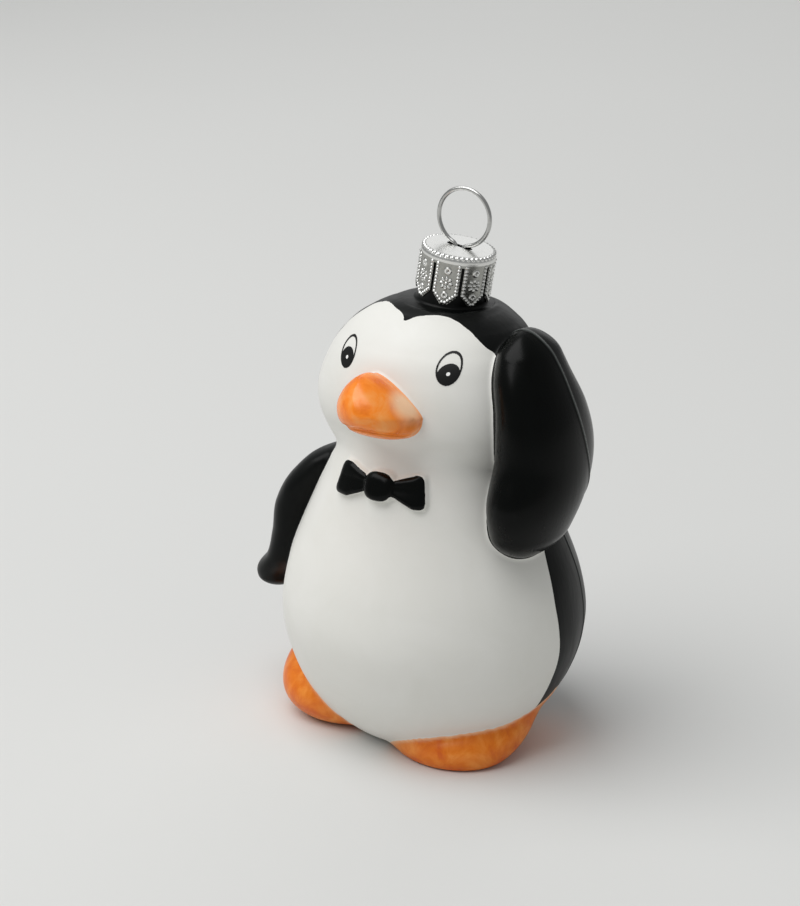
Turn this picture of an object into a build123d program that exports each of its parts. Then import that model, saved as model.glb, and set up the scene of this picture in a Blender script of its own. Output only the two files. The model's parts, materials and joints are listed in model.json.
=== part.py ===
from build123d import *
import math
import os
from collections import namedtuple

# A hanging ornament of mould-blown glass in the shape of a penguin, with its coats of lacquer, its crown cap
# and its wire hanger. Millimetres, +Z up, the penguin faces -Y and its left side is +X.
# The origin is on the standing face, under the middle of the body.

# Glass and lacquer
GLASS_WALL = 0.9
LACQUER = 0.25
LACQUER_SEAT = 0.05
PAINT_SEAM = 0.05
HEM_LEVEL = 0.6
OVERRUN = 20.0
LEAST_SECTION_SHARE = 0.2

# Body, from the standing face up to the crease under the chin
BODY_WIDTH = 43.2
BODY_DEPTH = 40.4
BODY_HEIGHT = 42.0
# height, width, depth
BODY_SHARES = (
    (0.0, 0.38, 0.38),
    (0.025, 0.52, 0.52),
    (0.075, 0.665, 0.665),
    (0.155, 0.81, 0.81),
    (0.29, 0.945, 0.945),
    (0.43, 1.0, 1.0),
    (0.57, 0.965, 0.95),
    (0.715, 0.865, 0.84),
    (0.835, 0.765, 0.73),
    (0.93, 0.675, 0.635),
    (1.0, 0.615, 0.57),
)

# Head, from the crease up to the crown
HEAD_WIDTH = 33.6
HEAD_DEPTH = 26.4
HEAD_HEIGHT = 20.8
CROWN_BACK = 3.2
# height, width, depth, move back
HEAD_SHARES = (
    (0.1, 0.915, 0.915, 0.0),
    (0.235, 0.985, 0.985, 0.0),
    (0.365, 1.0, 1.0, 0.0),
    (0.575, 0.925, 0.945, 0.05),
    (0.74, 0.81, 0.84, 0.22),
    (0.86, 0.655, 0.7, 0.5),
    (0.935, 0.475, 0.53, 0.75),
    (0.98, 0.3, 0.35, 0.92),
    (1.0, 0.16, 0.19, 1.0),
)

# Neck tube on the crown, leaning towards the raised wing
NECK_DIAMETER = 9.2
NECK_HEIGHT = 6.8
NECK_ROOT = 3.0
NECK_LEAN = 9.5
NECK_SIDE = 0.9
NECK_BACK = 2.9
NECK_PAINTED = 2.6

# Raised wing, held against the left side of the head. Its lower end is a drop below the crease, and its
# middle lies out from the side of the head.
RAISED_LENGTH = 31.2
RAISED_BREADTH = 18.6
RAISED_THICKNESS = 10.4
RAISED_DROP = 11.8
RAISED_OUT = 1.6
RAISED_FRONT = 3.0
# height, thickness, breadth, move to the side, move to the front
RAISED_SHARES = (
    (0.0, 0.1, 0.1, 0.95, 1.5),
    (0.025, 0.33, 0.33, 0.955, 1.5),
    (0.1, 0.75, 0.7, 0.97, 1.45),
    (0.25, 0.99, 0.99, 1.0, 1.3),
    (0.45, 1.0, 1.0, 1.01, 0.7),
    (0.65, 0.93, 0.88, 0.98, 0.8),
    (0.82, 0.8, 0.68, 0.9, 1.05),
    (0.93, 0.62, 0.5, 0.85, 1.1),
    (0.98, 0.34, 0.28, 0.83, 1.1),
    (1.0, 0.1, 0.1, 0.82, 1.1),
)

# Lowered wing, hanging from the right shoulder with its tip turned out. Its lower end is a drop below the
# crease, and its middle lies in from the side of the body.
LOWERED_LENGTH = 23.6
LOWERED_BREADTH = 13.0
LOWERED_THICKNESS = 7.0
LOWERED_DROP = 25.4
LOWERED_IN = 0.6
LOWERED_FRONT = 1.0
# height, thickness, breadth, move to the side, move to the front
LOWERED_SHARES = (
    (0.0, 0.12, 0.12, 1.19, 1.0),
    (0.025, 0.42, 0.42, 1.195, 1.0),
    (0.12, 0.82, 0.8, 1.19, 1.0),
    (0.25, 0.84, 0.95, 1.08, 1.0),
    (0.42, 0.95, 1.0, 1.01, 1.0),
    (0.62, 1.0, 0.98, 0.97, 1.0),
    (0.8, 0.88, 0.84, 0.87, 1.0),
    (0.93, 0.64, 0.58, 0.74, 1.0),
    (0.985, 0.32, 0.29, 0.655, 1.0),
    (1.0, 0.1, 0.1, 0.62, 1.0),
)

# Beak, one rounded bill, out from the front of the head and above the crease
BEAK_WIDTH = 11.4
BEAK_LENGTH = 11.6
BEAK_THICKNESS = 8.8
BEAK_OUT = 0.8
BEAK_RISE = 9.5

# Feet, two rounded lobes under the belly. A turn is the angle of the toes from straight ahead.
FOOT_BREADTH = 21.0
FOOT_LENGTH = 24.0
FOOT_THICKNESS = 11.0
FOOT_LEVEL = 2.2
LEFT_FOOT_SIDE = 6.4
LEFT_FOOT_FRONT = 2.6
LEFT_FOOT_TURN = 32.0
RIGHT_FOOT_SIDE = 10.6
RIGHT_FOOT_FRONT = 0.8
RIGHT_FOOT_TURN = 50.0

# Bow tie in low relief on the chest, below the crease
BOW_WIDTH = 11.8
BOW_END_HEIGHT = 4.7
BOW_WAIST = 2.2
BOW_PROUD = 1.1
BOW_DROP = 2.2
KNOT_WIDTH = 3.6
KNOT_HEIGHT = 3.5
KNOT_PROUD = 1.7

# Painted eyes, as seen from the front, below the crown
EYE_WIDTH = 3.1
EYE_HEIGHT = 4.0
EYE_SPACING = 15.8
EYE_DROP = 6.3
EYE_LINE = 0.25
EYE_PAINT = 0.1
PUPIL_HEIGHT = 2.6
GLINT_DIAMETER = 0.6

# Where white meets black: the hood's edge from the front, below the crown, and the side line below it
HOOD_PEAK_DROP = 1.8
HOOD_LOBE_DROP = 1.0
HOOD_LOBE_SIDE = 4.6
HOOD_TEMPLE_DROP = 4.5
HOOD_TEMPLE_SIDE = 12.2
TEMPLE_EDGE_FRONT = 2.5
FACE_EDGE_FRONT = 4.6
BELLY_EDGE_FRONT = 2.1
BELLY_EDGE_SHARE = 1.06
FACE_EDGE_SHARE = 0.45

# Crown cap
CAP_DIAMETER = 10.6
CAP_HEIGHT = 6.3
CAP_METAL = 0.25
CAP_SHOULDER = 0.8
CAP_SEAT = 0.05
CAP_TABS = 8
TAB_POINT = 1.5
TAB_SLIT = 0.4
TAB_BAND = 1.5
TAB_TURN = 39.0

# Hanger wire
WIRE_DIAMETER = 0.6
RING_DIAMETER = 8.5
PINCH_GAP = 0.5
PINCH_BEND = 0.9
LEG_LENGTH = 12.0
HANGER_LIFT = 2.0
HANGER_SEAT = 0.05
LEG_CLEARANCE = 0.2
SLOT_CLEARANCE = 0.15

# Worked out from the sizes above
COAT_OUTSIDE = LACQUER_SEAT + LACQUER
CROWN_LEVEL = BODY_HEIGHT + HEAD_HEIGHT
RAISED_LOW_END = BODY_HEIGHT - RAISED_DROP
RAISED_SIDE = HEAD_WIDTH / 2 + RAISED_OUT
LOWERED_LOW_END = BODY_HEIGHT - LOWERED_DROP
LOWERED_SIDE = BODY_WIDTH / 2 - LOWERED_IN
BEAK_FRONT = HEAD_DEPTH / 2 + BEAK_OUT
BEAK_LEVEL = BODY_HEIGHT + BEAK_RISE
BOW_LEVEL = BODY_HEIGHT - BOW_DROP
EYE_LEVEL = CROWN_LEVEL - EYE_DROP
HOOD_PEAK_LEVEL = CROWN_LEVEL - HOOD_PEAK_DROP
HOOD_LOBE_LEVEL = CROWN_LEVEL - HOOD_LOBE_DROP
HOOD_TEMPLE_LEVEL = CROWN_LEVEL - HOOD_TEMPLE_DROP
BORE_RADIUS = NECK_DIAMETER / 2 - GLASS_WALL
PLATE_TOP = CAP_SEAT + CAP_METAL
WIRE_RADIUS = WIRE_DIAMETER / 2
RING_RADIUS = RING_DIAMETER / 2 - WIRE_RADIUS
SEAM_AT_LEFT = 0
SEAM_AT_BACK = 90
SEAM_AT_RIGHT = 180

Section = namedtuple("Section", "z half_width half_depth x y")


def body_sections():
    """The stack of oval sections of body and head, from the standing face to the crown."""
    stack = []
    for height_share, width_share, depth_share in BODY_SHARES:
        half_width = BODY_WIDTH * width_share / 2
        half_depth = BODY_DEPTH * depth_share / 2
        stack.append(Section(BODY_HEIGHT * height_share, half_width, half_depth, 0, 0))
    for height_share, width_share, depth_share, back_share in HEAD_SHARES:
        half_width = HEAD_WIDTH * width_share / 2
        half_depth = HEAD_DEPTH * depth_share / 2
        z = BODY_HEIGHT + HEAD_HEIGHT * height_share
        stack.append(Section(z, half_width, half_depth, 0, CROWN_BACK * back_share))
    return stack


def wing_sections(shares, length, breadth, thickness, low_end, side, front):
    """The stack of oval sections of a wing, from its lower end to its upper end."""
    stack = []
    for height_share, thickness_share, breadth_share, side_share, front_share in shares:
        half_width = thickness * thickness_share / 2
        half_depth = breadth * breadth_share / 2
        z = low_end + length * height_share
        stack.append(Section(z, half_width, half_depth, side * side_share, -front * front_share))
    return stack


def grown(stack, grow):
    """The same stack moved outward by grow, square to its side profile."""
    moved = []
    for index, section in enumerate(stack):
        below = stack[max(index - 1, 0)]
        above = stack[min(index + 1, len(stack) - 1)]
        rise = above.z - below.z
        spread = (above.half_width + above.half_depth - below.half_width - below.half_depth) / 2
        slant = math.hypot(rise, spread)
        outward = grow * rise / slant
        upward = -grow * spread / slant
        half_width = max(section.half_width + outward, section.half_width * LEAST_SECTION_SHARE)
        half_depth = max(section.half_depth + outward, section.half_depth * LEAST_SECTION_SHARE)
        moved.append(Section(section.z + upward, half_width, half_depth, section.x, section.y))
    return moved


def lofted(stack, grow, turn):
    """A smooth solid through a stack of ovals.

    The surface closes on itself along a line at the angle turn, where no other form meets it.
    """
    across = abs(math.cos(math.radians(turn)))
    along = abs(math.sin(math.radians(turn)))
    slices = []
    for section in grown(stack, grow):
        half_x = section.half_width * across + section.half_depth * along
        half_y = section.half_depth * across + section.half_width * along
        slices.append(Pos(section.x, section.y, section.z) * Rot(0, 0, turn) * Ellipse(half_x, half_y))
    return loft(slices)


def ellipsoid(half_x, half_y, half_z):
    """A ball of radius 1 drawn out to three half sizes."""
    return scale(Sphere(1), by=(half_x, half_y, half_z))


def above(shape, level):
    """What of a shape lies above a level."""
    side = 2 * (BODY_WIDTH + OVERRUN)
    height = CROWN_LEVEL + NECK_HEIGHT + OVERRUN
    room = Box(side, side, height, align=(Align.CENTER, Align.CENTER, Align.MIN))
    return shape & (Pos(0, 0, level) * room)


def figure_core(grow):
    """Body and head in one bubble."""
    return lofted(body_sections(), grow, SEAM_AT_BACK)


def raised_wing(grow):
    """The wing held against the head."""
    stack = wing_sections(
        RAISED_SHARES,
        RAISED_LENGTH,
        RAISED_BREADTH,
        RAISED_THICKNESS,
        RAISED_LOW_END,
        RAISED_SIDE,
        RAISED_FRONT,
    )
    return lofted(stack, grow, SEAM_AT_LEFT)


def lowered_wing(grow):
    """The wing that hangs beside the belly."""
    stack = wing_sections(
        LOWERED_SHARES,
        LOWERED_LENGTH,
        LOWERED_BREADTH,
        LOWERED_THICKNESS,
        LOWERED_LOW_END,
        -LOWERED_SIDE,
        LOWERED_FRONT,
    )
    return lofted(stack, grow, SEAM_AT_RIGHT)


def beak(grow):
    """The bill, half sunk in the face."""
    bill = ellipsoid(BEAK_WIDTH / 2 + grow, BEAK_LENGTH / 2 + grow, BEAK_THICKNESS / 2 + grow)
    return Pos(0, -BEAK_FRONT, BEAK_LEVEL) * bill


def foot(grow, side, front, turn):
    """One foot lobe, its length along the toes."""
    lobe = ellipsoid(FOOT_BREADTH / 2 + grow, FOOT_LENGTH / 2 + grow, FOOT_THICKNESS / 2 + grow)
    return Pos(side, -front, FOOT_LEVEL) * Rot(0, 0, turn) * lobe


def left_foot(grow):
    """The penguin's left foot."""
    return foot(grow, LEFT_FOOT_SIDE, LEFT_FOOT_FRONT, LEFT_FOOT_TURN)


def right_foot(grow):
    """The penguin's right foot."""
    return foot(grow, -RIGHT_FOOT_SIDE, RIGHT_FOOT_FRONT, -RIGHT_FOOT_TURN)


def from_front(sketch):
    """A front-view drawing, X across and Z up, drawn out through the front half of the figure."""
    reach = BODY_DEPTH + OVERRUN
    return extrude(Plane.XZ * sketch, amount=reach)


def bow_tie(grow):
    """Two ribbon ends in low relief on the chest, with a knot between them."""
    half_end = BOW_END_HEIGHT / 2 + grow
    half_waist = BOW_WAIST / 2 + grow
    half_width = BOW_WIDTH / 2 + grow
    outline = Polygon(
        (-half_width, -half_end),
        (0, -half_waist),
        (half_width, -half_end),
        (half_width, half_end),
        (0, half_waist),
        (-half_width, half_end),
        align=None,
    )
    ribbon = from_front(Pos(0, BOW_LEVEL) * outline) & figure_core(BOW_PROUD + grow)
    knot_outline = Pos(0, BOW_LEVEL) * Ellipse(KNOT_WIDTH / 2 + grow, KNOT_HEIGHT / 2 + grow)
    knot = from_front(knot_outline) & figure_core(KNOT_PROUD + grow)
    return ribbon + knot


def neck_frame():
    """The middle of the glass neck's rim, with its axis leaning to the side."""
    root = Pos(NECK_SIDE, NECK_BACK, CROWN_LEVEL)
    return root * Rot(0, NECK_LEAN, 0) * Pos(0, 0, NECK_HEIGHT)


def neck(grow):
    """The neck tube's outside, rooted in the crown."""
    hanging = (Align.CENTER, Align.CENTER, Align.MAX)
    return neck_frame() * Cylinder(NECK_DIAMETER / 2 + grow, NECK_HEIGHT + NECK_ROOT, align=hanging)


def figure(grow):
    """All of the bubble's outside, moved outward by grow."""
    forms = [raised_wing, lowered_wing, beak, left_foot, right_foot, bow_tie, neck]
    return figure_core(grow) + [form(grow) for form in forms]


def glass_body():
    """The hollow bubble, flat under the feet and open at the neck."""
    hollow_forms = [raised_wing, lowered_wing, beak, left_foot, right_foot]
    hollow = figure_core(-GLASS_WALL) + [form(-GLASS_WALL) for form in hollow_forms]
    hanging = (Align.CENTER, Align.CENTER, Align.MAX)
    bore_depth = NECK_HEIGHT + NECK_ROOT + OVERRUN
    bore = neck_frame() * Pos(0, 0, OVERRUN) * Cylinder(BORE_RADIUS, bore_depth, align=hanging)
    return above(figure(0), 0) - above(hollow, GLASS_WALL) - bore


def white_zone(grow):
    """The space in which lacquer on body and head is white.

    It lies below the hood's edge and in front of the side line, which ends at the temples.
    """
    far = BODY_WIDTH + OVERRUN
    peak = (0, HOOD_PEAK_LEVEL + grow)
    temple_level = HOOD_TEMPLE_LEVEL + grow
    right_temple = (-HOOD_TEMPLE_SIDE - grow, temple_level)
    left_temple = (HOOD_TEMPLE_SIDE + grow, temple_level)
    right_lobe = (-HOOD_LOBE_SIDE, HOOD_LOBE_LEVEL + grow)
    left_lobe = (HOOD_LOBE_SIDE, HOOD_LOBE_LEVEL + grow)
    outer_corners = [(far, temple_level), (far, -OVERRUN), (-far, -OVERRUN), (-far, temple_level)]
    hood_edge = [
        Polyline(left_temple, *outer_corners, right_temple),
        ThreePointArc(right_temple, right_lobe, peak),
        ThreePointArc(peak, left_lobe, left_temple),
    ]
    front_view = make_face(Curve() + hood_edge)
    belly_edge = -BELLY_EDGE_FRONT + grow
    face_edge = -FACE_EDGE_FRONT + grow
    temple_edge = -TEMPLE_EDGE_FRONT + grow
    top = CROWN_LEVEL + OVERRUN
    side_view = Polygon(
        (-far, -OVERRUN),
        (belly_edge, -OVERRUN),
        (belly_edge, BODY_HEIGHT * BELLY_EDGE_SHARE),
        (face_edge, BODY_HEIGHT + HEAD_HEIGHT * FACE_EDGE_SHARE),
        (temple_edge, HOOD_TEMPLE_LEVEL - grow),
        (0, HOOD_TEMPLE_LEVEL - grow),
        (0, top),
        (-far, top),
        align=None,
    )
    return from_front(front_view) & extrude(Plane.YZ * side_view, amount=far, both=True)


def painted_neck_top():
    """The space above the lacquer's edge on the neck."""
    side = NECK_DIAMETER + OVERRUN
    room = Box(side, side, NECK_HEIGHT + OVERRUN, align=(Align.CENTER, Align.CENTER, Align.MIN))
    return neck_frame() * Pos(0, 0, NECK_PAINTED - NECK_HEIGHT) * room


def body_coats(bubble):
    """The white and the black coat on body, head and neck, beside what the other coats cover."""
    others = [raised_wing, lowered_wing, beak, left_foot, right_foot, bow_tie]
    skin = figure_core(COAT_OUTSIDE) + neck(COAT_OUTSIDE)
    skin = skin - bubble - [form(COAT_OUTSIDE + PAINT_SEAM) for form in others]
    skin = above(skin, HEM_LEVEL) - painted_neck_top()
    return skin & white_zone(0), skin - white_zone(PAINT_SEAM)


def coat(form, bubble):
    """A film of lacquer on one raised form of the bubble."""
    return above(form(COAT_OUTSIDE) - bubble, HEM_LEVEL)


def eye_film(drawing, side):
    """A front-view drawing painted on the white coat, at one eye's place."""
    inside = COAT_OUTSIDE + LACQUER_SEAT
    stamp = from_front(Pos(side, EYE_LEVEL) * drawing)
    return (stamp & figure_core(inside + EYE_PAINT)) - figure_core(inside)


def glint_drawing():
    """The white dot in a pupil."""
    return Pos(0, (PUPIL_HEIGHT - EYE_HEIGHT) / 2) * Circle(GLINT_DIAMETER / 2)


def eye_drawing():
    """An oval outline with the pupil in its lower part and room for the white dot."""
    oval = Ellipse(EYE_WIDTH / 2, EYE_HEIGHT / 2)
    white = Ellipse(EYE_WIDTH / 2 - EYE_LINE, EYE_HEIGHT / 2 - EYE_LINE)
    pupil = Pos(0, (PUPIL_HEIGHT - EYE_HEIGHT) / 2) * Ellipse(EYE_WIDTH / 2, PUPIL_HEIGHT / 2)
    dot_room = Pos(0, (PUPIL_HEIGHT - EYE_HEIGHT) / 2) * Circle(GLINT_DIAMETER / 2 + PAINT_SEAM)
    return oval - (white - pupil) - dot_room


def leg_slope():
    """How far a leg of the wire runs out for each millimetre down.

    At full lift a leg just clears the lower end of the neck's bore.
    """
    room = BORE_RADIUS - LEG_CLEARANCE - WIRE_RADIUS - (PINCH_GAP + WIRE_DIAMETER) / 2
    return room / (NECK_HEIGHT + NECK_ROOT + HANGER_LIFT)


def slot_half_length():
    """Half the cap's slot, which lets the splayed legs through up to full lift."""
    leg_reach = (PINCH_GAP + WIRE_DIAMETER) / 2 + leg_slope() * (HANGER_LIFT + PINCH_BEND + CAP_METAL)
    return leg_reach + WIRE_RADIUS + SLOT_CLEARANCE


def crown_cap():
    """A stamped cup over the neck, its skirt slit into pointed tabs, with a slot for the wire."""
    radius = CAP_DIAMETER / 2
    low = PLATE_TOP - CAP_HEIGHT
    hanging = (Align.CENTER, Align.CENTER, Align.MAX)
    cup = Pos(0, 0, PLATE_TOP) * Cylinder(radius, CAP_HEIGHT, align=hanging)
    cup = fillet(cup.edges().sort_by(Axis.Z)[-1], CAP_SHOULDER)
    inside = Pos(0, 0, CAP_SEAT) * Cylinder(radius - CAP_METAL, CAP_HEIGHT, align=hanging)
    inside = fillet(inside.edges().sort_by(Axis.Z)[-1], CAP_SHOULDER - CAP_METAL)
    half_pitch = radius * math.tan(math.pi / CAP_TABS)
    notch = Polygon(
        (-TAB_SLIT / 2, PLATE_TOP - TAB_BAND),
        (-TAB_SLIT / 2, low + TAB_POINT),
        (-half_pitch, low),
        (-half_pitch, low - OVERRUN),
        (half_pitch, low - OVERRUN),
        (half_pitch, low),
        (TAB_SLIT / 2, low + TAB_POINT),
        (TAB_SLIT / 2, PLATE_TOP - TAB_BAND),
        align=None,
    )
    cut = extrude(Plane.YZ * notch, amount=radius + OVERRUN)
    cuts = [Rot(0, 0, TAB_TURN + 360 * index / CAP_TABS) * cut for index in range(CAP_TABS)]
    slot_width = WIRE_DIAMETER + 2 * SLOT_CLEARANCE
    slot = Box(2 * slot_half_length(), slot_width, OVERRUN)
    return neck_frame() * (cup - inside - cuts - slot)


def hanger_wire():
    """One wire: a ring above the cap, pinched into the slot, and two legs that splay in the neck."""
    pinch = (PINCH_GAP + WIRE_DIAMETER) / 2
    bend_x = pinch + PINCH_BEND
    bend_z = PLATE_TOP + HANGER_SEAT + WIRE_RADIUS - PINCH_BEND
    ring_z = bend_z + math.sqrt((RING_RADIUS + PINCH_BEND) ** 2 - bend_x**2)
    join_share = PINCH_BEND / (RING_RADIUS + PINCH_BEND)
    join = (bend_x * (1 - join_share), bend_z + (ring_z - bend_z) * join_share)
    splay = math.atan(leg_slope())
    leg_top = (bend_x - PINCH_BEND * math.cos(splay), bend_z - PINCH_BEND * math.sin(splay))
    leg_end = (leg_top[0] + LEG_LENGTH * math.sin(splay), leg_top[1] - LEG_LENGTH * math.cos(splay))
    middle_turn = (math.pi + splay + math.atan2(ring_z - bend_z, -bend_x)) / 2
    bend_middle = (bend_x + PINCH_BEND * math.cos(middle_turn), bend_z + PINCH_BEND * math.sin(middle_turn))

    def mirrored(point):
        return (-point[0], point[1])

    path = [
        Line(leg_end, leg_top),
        ThreePointArc(leg_top, bend_middle, join),
        ThreePointArc(join, (0, ring_z + RING_RADIUS), mirrored(join)),
        ThreePointArc(mirrored(join), mirrored(bend_middle), mirrored(leg_top)),
        Line(mirrored(leg_top), mirrored(leg_end)),
    ]
    route = Plane.XZ * Wire(path)
    section = Plane(origin=route @ 0, z_dir=route % 0) * Circle(WIRE_RADIUS)
    wire = sweep(section, path=route)
    print("wire volume over section times length:", wire.volume / (math.pi * WIRE_RADIUS**2 * route.length))
    return neck_frame() * wire


def main():
    """Write one STEP file for each piece."""
    os.makedirs("parts", exist_ok=True)
    bubble = figure(LACQUER_SEAT)
    white, black = body_coats(bubble)
    left_eye = EYE_SPACING / 2
    right_eye = -EYE_SPACING / 2
    pieces = {
        "glass_body": glass_body(),
        "white_coat": white,
        "black_coat": black,
        "raised_wing_coat": coat(raised_wing, bubble),
        "lowered_wing_coat": coat(lowered_wing, bubble),
        "beak_coat": coat(beak, bubble),
        "left_foot_coat": coat(left_foot, bubble),
        "right_foot_coat": coat(right_foot, bubble),
        "bow_tie_coat": coat(bow_tie, bubble),
        "left_eye_paint": eye_film(eye_drawing(), left_eye),
        "right_eye_paint": eye_film(eye_drawing(), right_eye),
        "left_eye_glint": eye_film(glint_drawing(), left_eye),
        "right_eye_glint": eye_film(glint_drawing(), right_eye),
        "crown_cap": crown_cap(),
        "hanger_wire": hanger_wire(),
    }
    for name, piece in pieces.items():
        export_step(piece, f"parts/{name}.step")


main()
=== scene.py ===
# %% [markdown]
# # A blown-glass penguin ornament
# An ornament of this kind is a bubble of glass, blown into a two-part mould and painted by hand with lacquer.
# A stamped crown cap sits on its neck, and a sprung wire ring hangs it on a branch.
# The CAD model gives the frame, the joints and the main sizes. Here the forms follow the photograph a little closer,
# and each coat of paint becomes a thin film with its own finish, on one smooth skin in which wings, beak and feet
# flow into the body as blown glass does.

# %% Load the frame
import json
import math

import bpy
import numpy as np
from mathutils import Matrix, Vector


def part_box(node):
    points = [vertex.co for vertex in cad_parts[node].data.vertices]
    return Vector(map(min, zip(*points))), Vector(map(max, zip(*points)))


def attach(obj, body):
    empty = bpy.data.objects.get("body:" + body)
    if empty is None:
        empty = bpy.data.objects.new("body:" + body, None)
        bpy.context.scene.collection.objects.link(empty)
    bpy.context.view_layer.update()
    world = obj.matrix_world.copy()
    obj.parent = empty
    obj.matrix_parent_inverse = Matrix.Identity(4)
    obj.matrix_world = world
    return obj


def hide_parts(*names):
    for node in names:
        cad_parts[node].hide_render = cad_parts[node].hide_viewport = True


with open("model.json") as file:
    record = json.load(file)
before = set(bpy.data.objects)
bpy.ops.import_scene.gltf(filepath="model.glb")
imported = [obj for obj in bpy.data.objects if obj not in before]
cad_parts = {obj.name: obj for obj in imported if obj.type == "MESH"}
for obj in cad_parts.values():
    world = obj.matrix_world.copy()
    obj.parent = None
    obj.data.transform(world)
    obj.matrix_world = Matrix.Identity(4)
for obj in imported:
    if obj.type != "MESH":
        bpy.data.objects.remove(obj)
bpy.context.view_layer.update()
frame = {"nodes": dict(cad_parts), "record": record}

import openvdb
from mathutils import Vector

MM = 0.001

# %% [markdown]
# ## Camera
# The photograph looks down a little on the ornament from its left front. A long lens flattens the view, as it does
# in a product picture. The camera is placed by its target, its two angles and its distance.

# %% Place the camera
VIEW_AZIMUTH = 32.0
VIEW_ELEVATION = 19.0
VIEW_DISTANCE = 320.0
VIEW_TARGET = Vector((-10.7, 8.1, 36.3))
VIEW_LENS = 87.7
SENSOR = 36.0
NEAREST, FARTHEST = 0.01, 20.0


def placed(name, data):
    """Puts an object with its data into the scene."""
    made = bpy.data.objects.new(name, data)
    bpy.context.collection.objects.link(made)
    return made


turn, rise = math.radians(VIEW_AZIMUTH), math.radians(VIEW_ELEVATION)
view_back = Vector((math.sin(turn) * math.cos(rise), -math.cos(turn) * math.cos(rise), math.sin(rise)))
lens = bpy.data.cameras.new("photo_camera")
lens.lens = VIEW_LENS
lens.sensor_width = SENSOR
camera = placed("photo_camera", lens)
camera.location = (VIEW_TARGET + view_back * VIEW_DISTANCE) * MM
camera.rotation_euler = view_back.to_track_quat("Z", "Y").to_euler()
lens.clip_start, lens.clip_end = NEAREST, FARTHEST
bpy.context.scene.camera = camera
print("camera at", [round(v, 4) for v in camera.location])

# %% [markdown]
# ## Colour and nodes
# Colours are written as sRGB hex values, as a paint program shows them. Blender's shaders work in linear light, so
# one small function turns a hex value to linear. A second one adds a node with its settings and links. The Mix node
# has sockets for several kinds of value: its two colours go in at 6 and 7, and their mix comes out at 2.

# %% Helpers for materials
MIX_FIRST, MIX_SECOND, MIX_RESULT = 6, 7, 2


def linear(code):
    """An sRGB hex colour as linear red, green, blue and alpha."""
    parts = [int(code[i : i + 2], 16) / 255 for i in (1, 3, 5)]
    return (*[c / 12.92 if c <= 0.04045 else ((c + 0.055) / 1.055) ** 2.4 for c in parts], 1.0)


def add(tree, kind, inputs=None, **settings):
    """Adds a node: settings are its own properties, inputs are values or the sockets that feed it."""
    made = tree.nodes.new(kind)
    for name, value in settings.items():
        setattr(made, name, value)
    for name, value in (inputs or {}).items():
        if isinstance(value, bpy.types.NodeSocket):
            tree.links.new(value, made.inputs[name])
        else:
            made.inputs[name].default_value = value
    return made


def new_material(name):
    """An empty node material and its tree."""
    material = bpy.data.materials.new(name)
    material.use_nodes = True
    material.node_tree.nodes.clear()
    return material, material.node_tree


def per_mm(size):
    """A texture's scale for details of a size in millimetres, on coordinates in metres."""
    return 1 / (size * MM)


print("mid grey in linear light:", round(linear("#808080")[0], 3))

# %% [markdown]
# ## Floor
# The ornament stands on a plain pale table. One big face is enough for it, and very slow clouds in its tone keep it
# from looking like a flat fill.

# %% Lay the floor
FLOOR_SIZE = 6.0
FLOOR_CLOUD = 400.0
studio, tree = new_material("studio_floor")
place = add(tree, "ShaderNodeTexCoord")
cloudy = add(
    tree, "ShaderNodeTexNoise", {"Vector": place.outputs["Object"], "Scale": per_mm(FLOOR_CLOUD), "Detail": 2.0}
)
tone = add(
    tree,
    "ShaderNodeMix",
    {"Factor": cloudy.outputs["Fac"], MIX_FIRST: linear("#D6D6D4"), MIX_SECOND: linear("#DCDCDA")},
    data_type="RGBA",
)
shade = add(tree, "ShaderNodeBsdfPrincipled", {"Base Color": tone.outputs[MIX_RESULT], "Roughness": 0.9})
add(tree, "ShaderNodeOutputMaterial", {"Surface": shade.outputs["BSDF"]})

half = FLOOR_SIZE / 2
ground = bpy.data.meshes.new("floor")
ground.from_pydata([(-half, -half, 0), (half, -half, 0), (half, half, 0), (-half, half, 0)], [], [(0, 1, 2, 3)])
floor = placed("floor", ground)
floor.data.materials.append(studio)
print("floor:", FLOOR_SIZE, "m square")

# %% [markdown]
# ## Light
# One large soft lamp from the upper left gives the white its gentle fall-off to grey. A white card behind the
# ornament shows as the bright reflection on its cap, and an even world keeps the shadow open. Many small lamps would
# put many sharp dots on the glossy black, where the photograph shows mostly soft streaks.

# %% Hang the lamps
LAMP_AIM = Vector((0, 0, 0.04))
WORLD_STRENGTH = 0.36
LAMPS = (
    # name, place in metres, size in metres, watts
    ("window", (-0.28, -0.32, 0.9), 1.0, 9.2),
    ("white_card", (-0.33, 0.75, 0.5), 0.8, 1.3),
)
for name, spot, size, watts in LAMPS:
    lamp = bpy.data.lights.new(name, "AREA")
    lamp.size = size
    lamp.energy = watts
    holder = placed(name, lamp)
    holder.location = spot
    aim = LAMP_AIM - holder.location
    holder.rotation_euler = aim.to_track_quat("-Z", "Y").to_euler()

world = bpy.data.worlds.new("studio")
bpy.context.scene.world = world
world.use_nodes = True
world.node_tree.nodes["Background"].inputs["Color"].default_value = linear("#EEF0F0")
world.node_tree.nodes["Background"].inputs["Strength"].default_value = WORLD_STRENGTH
bpy.context.scene.view_settings.view_transform = "Standard"
print("lamps:", [row[0] for row in LAMPS])

# %% [markdown]
# ## Distance to a form
# Blown glass has no sharp corners: where a wing leaves the body, the bubble rounds off. One could join meshes and
# smooth them, but then every edge softens by the same amount. Here each form is a function that gives the
# distance from any point to its surface. Two distances can be blended with a radius of one's choice, and a mesh is
# drawn through all points at distance zero.

# %% Blend two distances
def blended(first, second, radius):
    """The union of two forms, with a fillet of about a radius between them."""
    mix = np.clip(0.5 + 0.5 * (second - first) / radius, 0, 1)
    return second + (first - second) * mix - radius * mix * (1 - mix)


def cut_down(first, second, radius):
    """What two forms share, with a rounded edge."""
    return -blended(-first, -second, radius)


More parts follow.
